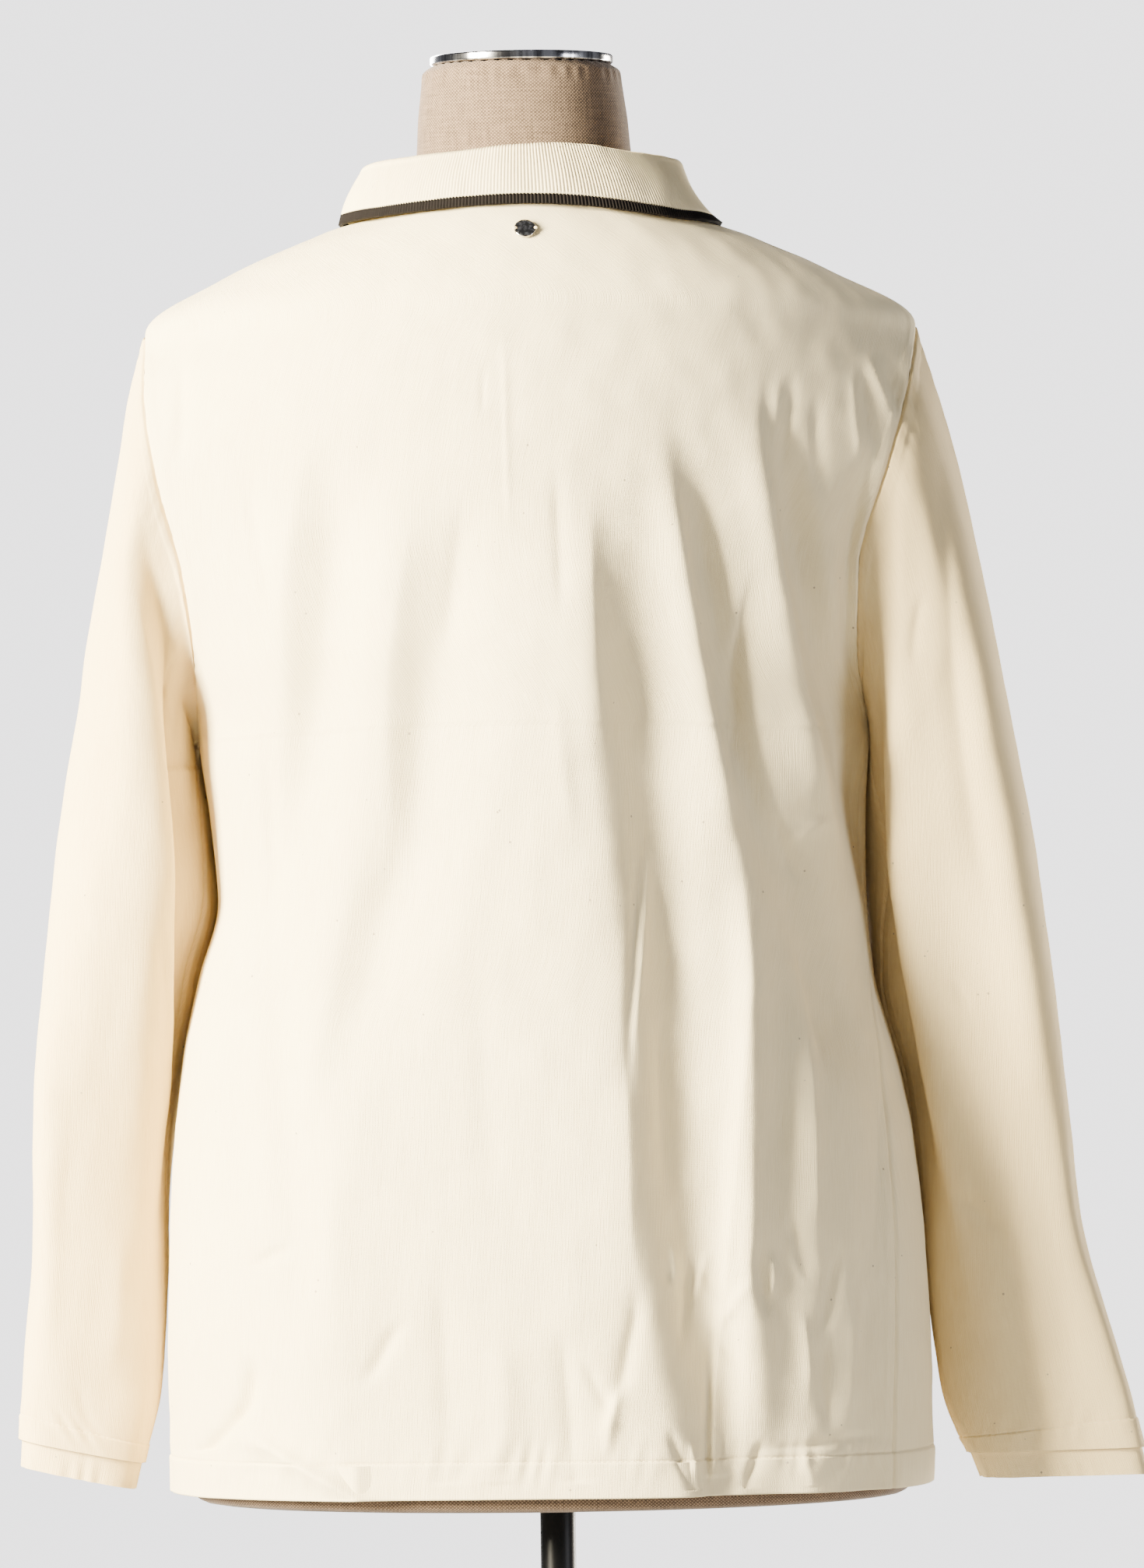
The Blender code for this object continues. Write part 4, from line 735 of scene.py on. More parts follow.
# ---------------------------------------------------------------- the sleeves
# Long set-in sleeves, each one piece with an underarm seam, hanging free from the shoulder to a plain hemmed
# cuff. Pulled from the blade, each has a lit back face and a shaded inner one with a long soft edge between.
SLEEVE_COLUMNS = ("s", "x_out", "z_out", "x_in", "z_in", "y_out", "y_in", "y_half")
LEFT_SLEEVE = (
    (0.00, 0.2170, 1.272, 0.1925, 1.042, -0.004, -0.004, 0.046),
    (0.06, 0.2268, 1.236, 0.1935, 1.032, -0.004, -0.008, 0.050),
    (0.13, 0.2360, 1.190, 0.1930, 1.016, -0.004, -0.012, 0.054),
    (0.22, 0.2470, 1.132, 0.1900, 0.990, -0.004, -0.016, 0.056),
    (0.32, 0.2590, 1.066, 0.1870, 0.952, -0.004, -0.020, 0.056),
    (0.44, 0.2730, 0.990, 0.1975, 0.900, -0.005, -0.026, 0.053),
    (0.56, 0.2830, 0.912, 0.2105, 0.842, -0.006, -0.032, 0.049),
    (0.68, 0.2905, 0.838, 0.2165, 0.780, -0.008, -0.034, 0.044),
    (0.80, 0.2935, 0.764, 0.2195, 0.718, -0.010, -0.030, 0.038),
    (0.90, 0.2985, 0.704, 0.2245, 0.672, -0.012, -0.026, 0.032),
    (1.00, 0.3035, 0.649, 0.2342, 0.634, -0.014, -0.022, 0.026),
)
RIGHT_SLEEVE = (
    (0.00, 0.2195, 1.272, 0.1875, 1.042, -0.004, -0.004, 0.046),
    (0.06, 0.2300, 1.236, 0.1885, 1.032, -0.004, -0.008, 0.050),
    (0.13, 0.2420, 1.190, 0.1880, 1.016, -0.004, -0.012, 0.053),
    (0.22, 0.2540, 1.132, 0.1870, 0.990, -0.004, -0.016, 0.055),
    (0.32, 0.2650, 1.066, 0.1865, 0.952, -0.004, -0.020, 0.055),
    (0.44, 0.2775, 0.990, 0.1880, 0.900, -0.004, -0.026, 0.051),
    (0.56, 0.2865, 0.912, 0.2005, 0.842, -0.004, -0.030, 0.045),
    (0.68, 0.2935, 0.838, 0.2095, 0.780, -0.004, -0.030, 0.038),
    (0.80, 0.3010, 0.764, 0.2140, 0.718, -0.004, -0.026, 0.031),
    (0.90, 0.3170, 0.700, 0.2200, 0.668, -0.004, -0.020, 0.025),
    (1.00, 0.3330, 0.636, 0.2330, 0.634, -0.004, -0.012, 0.020),
)
SLEEVE_BLEND = 0.30
SLEEVE_SQUARE = 0.86
SLEEVE_FLAT = 0.58  # the same at the cuff, where the cloth hangs flatter
SLEEVE_LENGTH = 0.625
SLEEVE_HALF_ROUND = 0.18  # about, in metres
CUFF = {"top": 0.0165, "step": 0.0005, "groove": 0.0004, "pucker": 0.0005, "pitch": 0.013}
SLEEVE_UNEVEN = ((0.0005, 0.075, 11), (0.00030, 0.028, 15))  # height, width, seed
STEP_S, STEP_ROUND = 0.01, 2.0
SLEEVE_FOLD_COLUMNS = ("s_top", "a_top", "s_low", "a_low", "lift", "before", "after")
LEFT_SLEEVE_FOLDS = (
    (0.06, 70.0, 0.70, 118.0, 7.0, 26.0, 20.0),
    (0.10, 118.0, 0.50, 146.0, -5.0, 24.0, 24.0),
    (0.10, 300.0, 0.75, 250.0, 5.0, 22.0, 26.0),
    (0.55, 30.0, 0.98, 60.0, 3.0, 22.0, 22.0),
    (0.12, 236.0, 0.55, 214.0, -2.5, 12.0, 12.0),
    (0.45, 276.0, 0.95, 300.0, -2.0, 12.0, 14.0),
    (0.02, 332.0, 0.20, 318.0, -1.4, 7.0, 8.0),
    (0.03, 206.0, 0.66, 214.0, 10.5, 26.0, 36.0),
)
RIGHT_SLEEVE_FOLDS = (
    (0.03, 108.0, 0.80, 126.0, 7.0, 22.0, 18.0),
    (0.05, 60.0, 0.75, 50.0, 4.0, 26.0, 22.0),
    (0.06, 140.0, 0.40, 158.0, -5.0, 16.0, 16.0),
    (0.10, 292.0, 0.75, 246.0, 5.0, 24.0, 24.0),
    (0.14, 232.0, 0.60, 216.0, -2.5, 12.0, 12.0),
    (0.50, 280.0, 0.95, 304.0, -2.0, 13.0, 13.0),
    (0.02, 330.0, 0.22, 316.0, -1.4, 7.0, 8.0),
    (0.03, 206.0, 0.66, 214.0, 10.5, 26.0, 36.0),
)
LEFT_SLEEVE_CREASES = (
    (650, 1680, 150, 202, 220, 210, 184, 5.0, 34, 9, 1.4),
    (700, 1640, 190, 230, 244, 230, 202, -8.0, 15, 24, 1.7),
    (640, 980, 182, 196, 214, 230, 242, -5.5, 20, 30, 1.8, 0, 0.4),
    (840, 905, 238, 234, 230, 227, 225, -1.6, 4, 6, 1.5),
    (1190, 1340, 200, 203, 206, 207, 206, -1.2, 6, 7, 1.6),
    (1000, 1420, 118, 120, 118, 112, 104, 1.6, 26, 22, 1.8),
    (1380, 1780, 96, 90, 84, 80, 76, -1.4, 16, 22, 1.8),
    (1560, 1800, 150, 152, 152, 146, 136, 1.4, 20, 16, 1.8),
    (1770, 1850, 100, 104, 108, 112, 116, -0.9, 8, 9, 1.7, 0, 0.4),
)
RIGHT_SLEEVE_CREASES = (
    (540, 1140, 1160, 1158, 1159, 1158, 1157, 2.8, 14, 20, 1.6, 0, 0.2),
    (470, 1260, 1208, 1218, 1230, 1254, 1300, -5.6, 26, 36, 1.6),
    (860, 1740, 1131, 1148, 1182, 1223, 1248, 4.6, 9, 32, 1.4),
    (850, 1600, 1108, 1122, 1149, 1184, 1214, -8.0, 24, 14, 1.7),
    (462, 530, 1167, 1169, 1171, 1174, 1177, -1.7, 4, 5, 1.5),
    (760, 860, 1184, 1180, 1176, 1175, 1178, -1.2, 5, 6, 1.6),
    (1250, 1300, 1226, 1230, 1234, 1239, 1245, -1.2, 5, 6, 1.6),
    (1520, 1590, 1222, 1240, 1258, 1274, 1292, -1.5, 9, 11, 1.7),
    (1330, 1660, 1286, 1298, 1306, 1312, 1316, 1.4, 26, 24, 1.8),
    (1500, 1800, 1342, 1352, 1360, 1370, 1382, -1.2, 20, 24, 1.8),
    (1760, 1850, 1330, 1334, 1338, 1344, 1350, -0.9, 8, 9, 1.7, 0, 0.4),
    (1350, 1880, 1290, 1300, 1312, 1326, 1340, -4.0, 30, 90, 1.8, 0, 0.8),
)
SLEEVE_CELLS = (200, 232)  # round and along


def armhole(side, around):
    """Points and normals of an armhole, at angles round the sleeve."""
    around = np.asarray(around, float) % 360
    v = V_TIP + (V_UNDERARM - V_TIP) * np.minimum(around, 360 - around) / 180
    edge = np.full(v.shape, 90.0 * side)
    return [either(around <= 180, shape, v, edge) for shape in (smooth_body, body_normal)]


def sleeve_section(side, rows, s, around):
    """A point of the sleeve's own section at s down it, an angle round it, before it meets the armhole."""
    value = {name: curve(rows["s"], rows[name], s) for name in SLEEVE_COLUMNS[1:]}
    along, across = np.cos(np.radians(around)), np.sin(np.radians(around))
    flat = SLEEVE_SQUARE + (SLEEVE_FLAT - SLEEVE_SQUARE) * ease((s - 0.25) / 0.6)
    outwards = (1 + np.sign(along) * np.abs(along) ** SLEEVE_SQUARE) / 2
    ends = [(value[f"{axis}_in"], value[f"{axis}_out"]) for axis in "xyz"]
    x, y, z = (inner + (outer - inner) * outwards for inner, outer in ends)
    return np.stack([x * side, y + value["y_half"] * np.sign(across) * np.abs(across) ** flat, z], axis=-1)


def smooth_sleeve(side, rows, s, around):
    """A point of the sleeve without folds: its section, drawn onto the armhole over its first part."""
    s, around = np.broadcast_arrays(np.asarray(s, float), np.asarray(around, float))
    at_top = armhole(side, around)[0] - sleeve_section(side, rows, np.zeros(s.shape), around)
    left_over = (1 - np.clip(s / SLEEVE_BLEND, 0, 1)) ** 2
    return sleeve_section(side, rows, s, around) + at_top * left_over[..., None]


def sleeve_normal(side, rows, s, around):
    """The outward direction of the smooth sleeve."""
    down = smooth_sleeve(side, rows, np.minimum(s + STEP_S, 1), around)
    down = down - smooth_sleeve(side, rows, np.maximum(s - STEP_S, 0), around)
    turn = smooth_sleeve(side, rows, s, around + STEP_ROUND)
    turn = turn - smooth_sleeve(side, rows, s, around - STEP_ROUND)
    return unit(np.cross(down, turn) * side)


def sleeve_fold_height(folds, s, around):
    """How far the sleeve's folds lift the cloth, in metres."""
    total = np.zeros(np.broadcast(s, around).shape)
    for row in folds:
        f = dict(zip(SLEEVE_FOLD_COLUMNS, row))
        down = (s - f["s_top"]) / (f["s_low"] - f["s_top"])
        middle = f["a_top"] + (f["a_low"] - f["a_top"]) * np.clip(down, 0, 1)
        away = around - middle
        reach = np.where(away > 0, f["after"], f["before"])
        grow = ease(down / 0.25) * ease((1 - down) / 0.35)
        total = total + f["lift"] / 1000 * grow * np.exp(-((away / reach) ** 2))
    return total


def seam_angle(s):
    """Where the underarm seam lies round a sleeve: 180 is straight under it, less is to the back."""
    return curve(np.array([0.0, 0.12, 0.3, 0.6, 0.85, 1.0]), np.array([180.0, 170, 163, 168, 172, 172]), s)


def make_sleeve(name, side, rows, folds, creases, node):
    """A sleeve as one tube of cloth, from the armhole seam to the cuff and up its inside."""
    rows = table(SLEEVE_COLUMNS, rows)
    run = graded(SLEEVE_LENGTH, SLEEVE_CELLS[1], (0.0, SLEEVE_LENGTH - CUFF["top"], SLEEVE_LENGTH), 0.0006)
    levels = run / SLEEVE_LENGTH
    half = graded(SLEEVE_HALF_ROUND, SLEEVE_CELLS[0] // 2, (0.0,), 0.0007) / SLEEVE_HALF_ROUND * 180
    s, offset = np.meshgrid(levels, np.concatenate([half[:-1], 360 - half[:0:-1]]), indexing="ij")
    around = (seam_angle(s) + offset) % 360
    base = smooth_sleeve(side, rows, s, around)
    hole, body_out = armhole(side, around)
    near_body = ease(1 - s / 0.05)[..., None]
    normal = unit(sleeve_normal(side, rows, s, around) * (1 - near_body) + body_out * near_body)
    to_hole = length_of(base - hole)
    fade_in = ease(to_hole / 0.010)
    to_back = ease((normal[..., 1] + 0.10) / 0.4)
    run_round = run_to(np.concatenate([base, base[:, :1]], axis=1), axis=1)
    run_round, total = run_round[:, :-1], run_round[:, -1:]
    to_seam = np.minimum(run_round, total - run_round)
    uneven = sum(high * wrinkle(base, wide, seed + side) for high, wide, seed in SLEEVE_UNEVEN)
    lift = sleeve_fold_height(folds, s, around) + crease_height(creases, base) * to_back * fade_in
    lift = lift + seam_relief(to_hole) + seam_relief(to_seam) * ease(to_hole / 0.004)
    lift = lift + puckers(to_hole, around * 0.0011, high=0.0004, reach=0.014, pitch=0.012, seed=0.4 + side)
    lift = lift + hem_relief((1 - s) * SLEEVE_LENGTH, run_round, seed=2.2 + side, **CUFF) + uneven * fade_in
    surface = base + normal * lift[..., None]
    lengthwise = unit(surface[-2] - surface[-4])
    hem = turned_hem(surface[-1], unit(normal[-1]), CUFF["top"], lengthwise)[::-1]
    u = run_round - total / 2
    u = np.concatenate([u, np.tile(u[-1], (len(hem), 1))])
    along = np.concatenate([run, SLEEVE_LENGTH + np.linspace(0.001, 0.022, len(hem))])
    made = grid_mesh(name, np.concatenate([surface, hem]), u, -along[:, None], ring=True, flip=side < 0)
    # The sleeves take the warmer copy of the jersey, with its painted glow.
    made.data.materials.append(SLEEVE_JERSEY_PAINTED_GLOW)
    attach(made, "root")
    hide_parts(node)
    return made, surface, normal, levels


left_cloth, left_surface, left_normals, sleeve_levels = make_sleeve(
    "sleeve_left_cloth", 1, LEFT_SLEEVE, LEFT_SLEEVE_FOLDS, LEFT_SLEEVE_CREASES, "sleeve_left"
)
right_cloth, right_surface, right_normals, _ = make_sleeve(
    "sleeve_right_cloth", -1, RIGHT_SLEEVE, RIGHT_SLEEVE_FOLDS, RIGHT_SLEEVE_CREASES, "sleeve_right"
)

# ---------------------------------------------------------------- the collar
# A flat-knit rib collar, stand and fall in one, rolled over at the neck. Its ribs run from roll to edge. The
# front, where it meets over the placket, isn't in the picture.
ARC_COLUMNS = ("x_left", "x_right", "y_back", "y_front", "x_end", "full_left", "full_right")
ROLL_ARC = dict(zip(ARC_COLUMNS, (0.0898, 0.0872, 0.0680, 0.0865, 0.0070, 1.0, 1.0)))
EDGE_ARC = dict(zip(ARC_COLUMNS, (0.1035, 0.1100, 0.0805, 0.1145, 0.0310, 0.80, 0.66)))
ROLL_HEIGHT_COLUMNS = ("t", "z_left", "z_right")
ROLL_HEIGHTS = (
    (0.00, 1.3717, 1.3717),
    (0.06, 1.3708, 1.3723),
    (0.12, 1.3692, 1.3713),
    (0.25, 1.3668, 1.3676),
    (0.38, 1.3650, 1.3658),
    (0.46, 1.3632, 1.3648),
    (0.50, 1.3612, 1.3632),
    (0.62, 1.3500, 1.3505),
    (0.75, 1.3270, 1.3270),
    (0.88, 1.3000, 1.3000),
    (1.00, 1.2835, 1.2835),
)
CLOTH = 0.0015
KNIT = 0.0018
ROLL = 0.0022
FALL_BOW = 0.0016
RIGHT_SAG = 0.0050  # the fall dips in at the right shoulder
TIPPING = 0.0055
COLLAR_END = 177.0
EDGE_LIFT = 0.0012
COLLAR_STATIONS = 48  # over half the collar, before the ribs are laid between them
RIBS = 340
RIB_PITCH = 0.0013
COLUMNS_A_RIB = 6
RIB_HEIGHT = 0.00055
SAW = 0.00035  # how far the dark edge's first row of knit steps up and down
COLLAR_UNEVEN = ((0.00035, 0.045, 21), (0.00015, 0.016, 22))  # height, width, seed
ROLL_Z = table(ROLL_HEIGHT_COLUMNS, ROLL_HEIGHTS)


def on_body(x, y, out):
    """The point of the upper body over this place in plan, moved out along the normal."""
    panel = "back" if y >= 0 else "front"
    side = 1 if x >= 0 else -1
    low, high = 0.70, 1.0
    while half_width(high, side) < abs(x) and high > low:
        high -= 0.0005
    for _ in range(40):
        v = (low + high) / 2
        angle = math.degrees(math.asin(min(1.0, abs(x) / float(half_width(v, side))))) * side
        if abs(smooth_body(panel, v, angle)[1]) > abs(y):
            low = v
        else:
            high = v
    return smooth_body(panel, v, angle) + body_normal(panel, v, angle) * out


def arc_place(arc, t, side):
    """A place in plan on one of the collar's arcs, at station t."""
    x_half = arc["x_left" if side > 0 else "x_right"]
    if t <= 0.5:
        angle = math.pi / 2 * (1 - 2 * t)
        full = arc["full_left" if side > 0 else "full_right"]
        return x_half * math.cos(angle), arc["y_back"] * math.sin(angle) ** full
    angle = math.acos(arc["x_end"] / x_half) * (2 * t - 1)
    return x_half * math.cos(angle), -arc["y_front"] * math.sin(angle)


def collar_station(t, side):
    """The neck seam, the middle of the roll, the way out and the outer edge at one station."""
    turn = t * COLLAR_END
    panel, angle = ("back", turn) if turn <= 90 else ("front", 180 - turn)
    seam = smooth_body(panel, 1.0, angle * side)
    seam = seam - body_normal(panel, 0.97, min(angle, 80) * side) * CLOTH / 2
    start = seam + (0, 0, KNIT / 2 + 0.0007 + 0.0018 * float(ease((t - 0.85) / 0.1)))
    roll_x, roll_y = arc_place(ROLL_ARC, t, side)
    roll_z = float(curve(ROLL_Z["t"], ROLL_Z["z_left" if side > 0 else "z_right"], t))
    roll = np.array([roll_x * side, roll_y, roll_z - ROLL])
    edge_x, edge_y = arc_place(EDGE_ARC, t, side)
    snug = float(ease(1 - abs(t - 0.5) / 0.16))
    edge = on_body(edge_x * side, edge_y, EDGE_LIFT * (1 - snug) + KNIT * (1 - 0.4 * snug))
    return np.concatenate([start, roll, unit((edge - start) * (1, 1, 0)), edge])


half = np.linspace(0, 1, COLLAR_STATIONS + 1)
stations = [(t, 1) for t in half[::-1]] + [(t, -1) for t in half[1:]]
coarse = np.array([collar_station(t, side) for t, side in stations])
count = RIBS * COLUMNS_A_RIB + 1
where = np.linspace(0, len(stations) - 1, count)
fine = np.stack([curve(np.arange(len(stations)), coarse[:, k], where) for k in range(12)], axis=-1)
start, roll_middle, outward, edge = fine[:, :3], fine[:, 3:6], unit(fine[:, 6:9]), fine[:, 9:]
rib_phase = np.arange(count) / COLUMNS_A_RIB
ridge = (0.5 + 0.5 * np.cos(2 * math.pi * rib_phase)) ** 0.7


def roll_point(degrees):
    """A place round the roll at every station."""
    a = math.radians(degrees)
    return roll_middle + ROLL * (UP_Z * math.sin(a) - outward * math.cos(a))


fall_top = roll_point(175)
fall_run = edge - fall_top
fall_length = length_of(fall_run)[:, None]
bow = unit(np.cross(fall_run, np.cross(outward, UP_Z)))
bow = np.where(bow[:, 2:] > 0, bow, -bow)
right_share = where / COLLAR_STATIONS - 1
bow = bow * (FALL_BOW - RIGHT_SAG * np.exp(-(((right_share - 0.5) / 0.13) ** 2)))[:, None]
saw_step = (SAW * (np.abs((rib_phase % 1) - 0.5) * 4 - 1))[:, None]
tip = 1 - (TIPPING + saw_step) / fall_length


def fall_point(share):
    """A place down the fall at every station, as a share of it."""
    return fall_top + fall_run * share + bow * np.sin(math.pi * share)


stand = [start + (roll_point(-10) - start) * k for k in (0.0, 0.35, 0.7)]
rolled = [roll_point(a) for a in np.linspace(-10, 175, 13)]
fallen = [fall_point(tip * k) for k in np.linspace(0, 1, 14)[1:]]
band = [fall_point(tip + (1 - tip) * k) for k in np.linspace(0, 1, 6)]
middle_line = np.stack(stand + rolled + fallen[:-1] + band, axis=1)
run_along, run_down = np.gradient(middle_line, axis=0), np.gradient(middle_line, axis=1)
knit_out = unit(np.cross(run_down, run_along))
if knit_out[count // 2, -1, 2] < 0:
    knit_out = -knit_out
uneven = sum(high * wrinkle(middle_line, wide, seed) for high, wide, seed in COLLAR_UNEVEN)
first_fallen = len(stand) + 4
uneven[:, :first_fallen] = 0
middle_line = middle_line + knit_out * uneven[..., None]


def mended(mesh, turn_out=True):
    """Closes a mesh's open ends, and turns its faces outwards."""
    closing = bmesh.new()
    closing.from_mesh(mesh)
    bmesh.ops.holes_fill(closing, edges=[e for e in closing.edges if e.is_boundary], sides=0)
    if turn_out:
        bmesh.ops.recalc_face_normals(closing, faces=closing.faces)
    closing.to_mesh(mesh)
    closing.free()


def knit_band(name, columns, proud):
    """A closed knitted band over some columns of the collar's middle line, ribbed on both faces."""
    line, out = middle_line[:, columns], knit_out[:, columns]
    rib = np.broadcast_to((RIB_HEIGHT * ridge)[:, None], line.shape[:2])
    outer = line + out * (KNIT / 2 + proud - RIB_HEIGHT / 2 + rib)[..., None]
    inner = line - out * (KNIT / 2 - RIB_HEIGHT / 2 + rib * 0.6)[..., None]
    loop = np.concatenate([outer, inner[:, ::-2]], axis=1)
    across_run, along_run = run_to(loop[count // 2]), np.linspace(0, RIBS * RIB_PITCH, count)
    made = grid_mesh(name, loop, along_run[:, None], across_run, ring=True, flip=True)
    mended(made.data, turn_out=False)
    return made


RIB_KNIT = jersey_material("cream_rib_knit", (0.86, 0.735, 0.46), (0.94, 0.92, 0.88), wale=0.00065)
collar_cloth = knit_band("collar_knit", slice(0, -5), 0.0)
collar_cloth.data.materials.append(RIB_KNIT)
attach(collar_cloth, "root")
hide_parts("collar")

# ---------------------------------------------------------------- the collar's dark edge
# The last few rows of the collar, knitted in dark brown yarn and a little thicker. The first dark row steps
# up and down with the ribs.
DARK_KNIT = jersey_material("dark_brown_knit", (0.0085, 0.0066, 0.0058), (0.7, 0.7, 0.7), 0.00065, 0.0, 0.1)
tipping = knit_band("collar_dark_edge", slice(-6, None), 0.00015)
tipping.data.materials.append(DARK_KNIT)
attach(tipping, "root")
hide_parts("collar_tipping")

# ---------------------------------------------------------------- the dress form
# A limbless torso and neck covered in coarse reddish-beige linen, gathered over the neck's top edge. The
# shirt rests on its shoulders; only the neck and a strip under the hem show.
CLEARANCE_COLUMNS = ("v", "clear")
CLEARANCE_ROWS = (
    (0.00, 0.0110),
    (0.20, 0.0120),
    (0.34, 0.0150),
    (0.46, 0.0190),
    (0.58, 0.0130),
    (0.70, 0.0110),
    (0.78, 0.0080),
    (0.83, 0.0020),
    (0.86, 0.0008),
    (1.00, 0.0007),
)
NECK_COLUMNS = ("z", "x_half", "y_front", "y_back")
NECK_ROWS = (
    (1.3560, 0.0640, -0.0650, 0.0540),
    (1.3700, 0.0607, -0.0620, 0.0515),
    (1.3900, 0.0592, -0.0600, 0.0500),
    (1.4080, 0.0570, -0.0575, 0.0500),
    (1.4170, 0.0562, -0.0560, 0.0500),
    (1.4215, 0.0500, -0.0500, 0.0480),
)
NECK_RADIUS = 0.056
ARM_BULGE = 0.006
FORM_ARC = 78
FORM_ARC_STEPS = 41
FORM_SIDES = 240
# How the form closes below: share of its lowest ring, rise.
FORM_FOOT = ((0.998, 0.0045), (0.992, 0.0022), (0.975, 0.0008), (0.95, 0.0), (0.6, 0.0), (0.02, 0.0))
GATHERS = 37
GATHER_DEPTH = 0.0011
GATHER_Z, GATHER_OVER = 1.4065, 0.010
GATHER_TUCK = 0.0004
WEAVE = 0.00105  # one thread of the linen to the next
CLEARANCE = table(CLEARANCE_COLUMNS, CLEARANCE_ROWS)
NECK = table(NECK_COLUMNS, NECK_ROWS)


def ring_spline(points, count):
    """A closed ring of points made smooth and evenly spaced."""
    run = run_to(np.concatenate([points, points[:1]]))
    at = np.linspace(0, run[-1], count, endpoint=False)
    i = np.clip(np.searchsorted(run, at, side="right") - 1, 0, len(points) - 1)
    t = ((at - run[i]) / (run[i + 1] - run[i]))[:, None]
    n = len(points)
    a, b, c, d = (points[(i + k) % n] for k in (-1, 0, 1, 2))
    return 0.5 * (2 * b + (c - a) * t + (2 * a - 5 * b + 4 * c - d) * t**2 + (3 * b - a - 3 * c + d) * t**3)


def form_ring(v):
    """The torso at one height: the shirt's own section drawn in, from the middle of the front round."""
    clear = float(curve(CLEARANCE["v"], CLEARANCE["clear"], v)) + CLOTH
    arcs = np.linspace(-FORM_ARC, FORM_ARC, FORM_ARC_STEPS)
    share = min(max((v - V_UNDERARM) / (V_TIP - V_UNDERARM), 0), 1)
    back = smooth_body("back", v, arcs) - body_normal("back", v, arcs) * clear
    front = smooth_body("front", v, -arcs) - body_normal("front", v, -arcs) * clear
    plates = []
    for side in (1, -1):
        edges = [smooth_body(name, v, 90 * side) for name in ("back", "front")]
        normals = [body_normal(name, v, 90 * side) for name in ("back", "front")]
        inwards = clear - ARM_BULGE * math.sin(math.pi * share)
        plates.append((edges[0] + edges[1]) / 2 - unit(normals[0] + normals[1]) * inwards)
    middle = FORM_ARC_STEPS // 2
    ring = np.concatenate([front[middle:], plates[1:], back, plates[:1], front[:middle]])
    return ring_spline(ring, FORM_SIDES)


rings = [form_ring(v) for v in np.concatenate([np.linspace(0, 0.86, 40), np.linspace(0.87, 1.0, 10)])]
lowest = rings[0]
for share, rise in FORM_FOOT:
    rings.insert(0, lowest * (share, share, 0) + (0, 0, FORM_BOTTOM_Z + rise))
body_top = rings[-1]
turn = np.arctan2(body_top[:, 1], body_top[:, 0])
ripple = np.sin(GATHERS * turn + 0.9 * np.sin(5 * turn + 1.0) + 0.6 * np.sin(9 * turn))
neck_z = np.concatenate([np.linspace(1.3560, 1.4040, 14), np.linspace(1.4060, 1.4215, 16)])
for z in neck_z:
    x_half, y_front, y_back = (curve(NECK["z"], NECK[column], z) for column in NECK_COLUMNS[1:])
    y = np.where(np.sin(turn) > 0, np.sin(turn) * y_back, -np.sin(turn) * y_front)
    ring = np.stack([np.cos(turn) * x_half, y, np.full(turn.shape, z)], axis=-1)
    gathered = float(ease((z - GATHER_Z) / GATHER_OVER))
    gather = GATHER_DEPTH * gathered * ripple
    ring = ring - ring * (1, 1, 0) / NECK_RADIUS * (0.35 * gather[:, None] + GATHER_TUCK * gathered)
    ring[:, 2] += 0.45 * gather
    if z == neck_z[0]:
        rings.extend(body_top + (ring - body_top) * k for k in np.linspace(0, 1, 8)[1:-1])
    rings.append(ring)
top_ring = rings[-1]
for share in (0.9, 0.5, 0.02):
    rings.append(top_ring * (share, share, 1) - (0, 0, 0.0008))
points = np.array(rings)
points = points + unit(points * (1, 1, 0)) * (0.00025 * wrinkle(points, 0.05, 31))[..., None]
middle = FORM_SIDES // 2
run_round = run_to(points, axis=1)
run_round = run_round - run_round[:, middle : middle + 1]
run_up = run_to(points[:, middle])[:, None]
form_cover = grid_mesh("form_linen_cover", points, run_round, run_up, ring=True)

linen = new_material("coarse_linen", Roughness=0.9, Specular_IOR_Level=0.15, Sheen_Weight=0.15)
on_cloth = cloth_map()
parts = wire("SeparateXYZ", _0=on_cloth).outputs
wobble = noise(on_cloth, 260.0, 2.0)
over = do("SINE", do("MULTIPLY", blend(parts["X"], 1 / WEAVE, wobble, 0.7), math.pi))
under = do("SINE", do("MULTIPLY", blend(parts["Y"], 1 / (0.9 * WEAVE), wobble, 0.9), math.pi))
raised = do("MAXIMUM", do("ABSOLUTE", over), do("ABSOLUTE", under))
weave = blend(do("MULTIPLY", over, under), 0.45, raised, 0.55)
slubs = do("ADD", stretched(on_cloth, (700.0, 60.0, 1.0)), stretched(on_cloth, (55.0, 800.0, 1.0)))
tone = blend(slubs, 0.34, weave, 0.58)
tint = ramp(tone, (0.050, 0.033, 0.021), (0.245, 0.166, 0.106), (0.40, 0.84))
fill(shader, Base_Color=tint, Normal=bump(tone, 0.6, 0.00035))
form_cover.data.materials.append(linen)
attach(form_cover, "root")
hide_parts("form_body")

# ---------------------------------------------------------------- the metal cap on the neck
# A spun and chromed steel disc that closes the neck, with a rounded rim and a shallow step on top.
CAP_RADIUS = 0.0517
CAP_THICK = 0.0050
CAP_FOOT = 1.4218
CAP_STEPS = ((0.006, -0.0007), (0.003, 0.0005))  # inset, rise


def clear_selection():
    """Nothing selected and no edit mode, so that the next operator acts on one piece."""
    if bpy.context.object and bpy.context.object.mode == "EDIT":
        bpy.ops.object.mode_set(mode="OBJECT")
    for other in list(bpy.context.selected_objects):
        other.select_set(False)


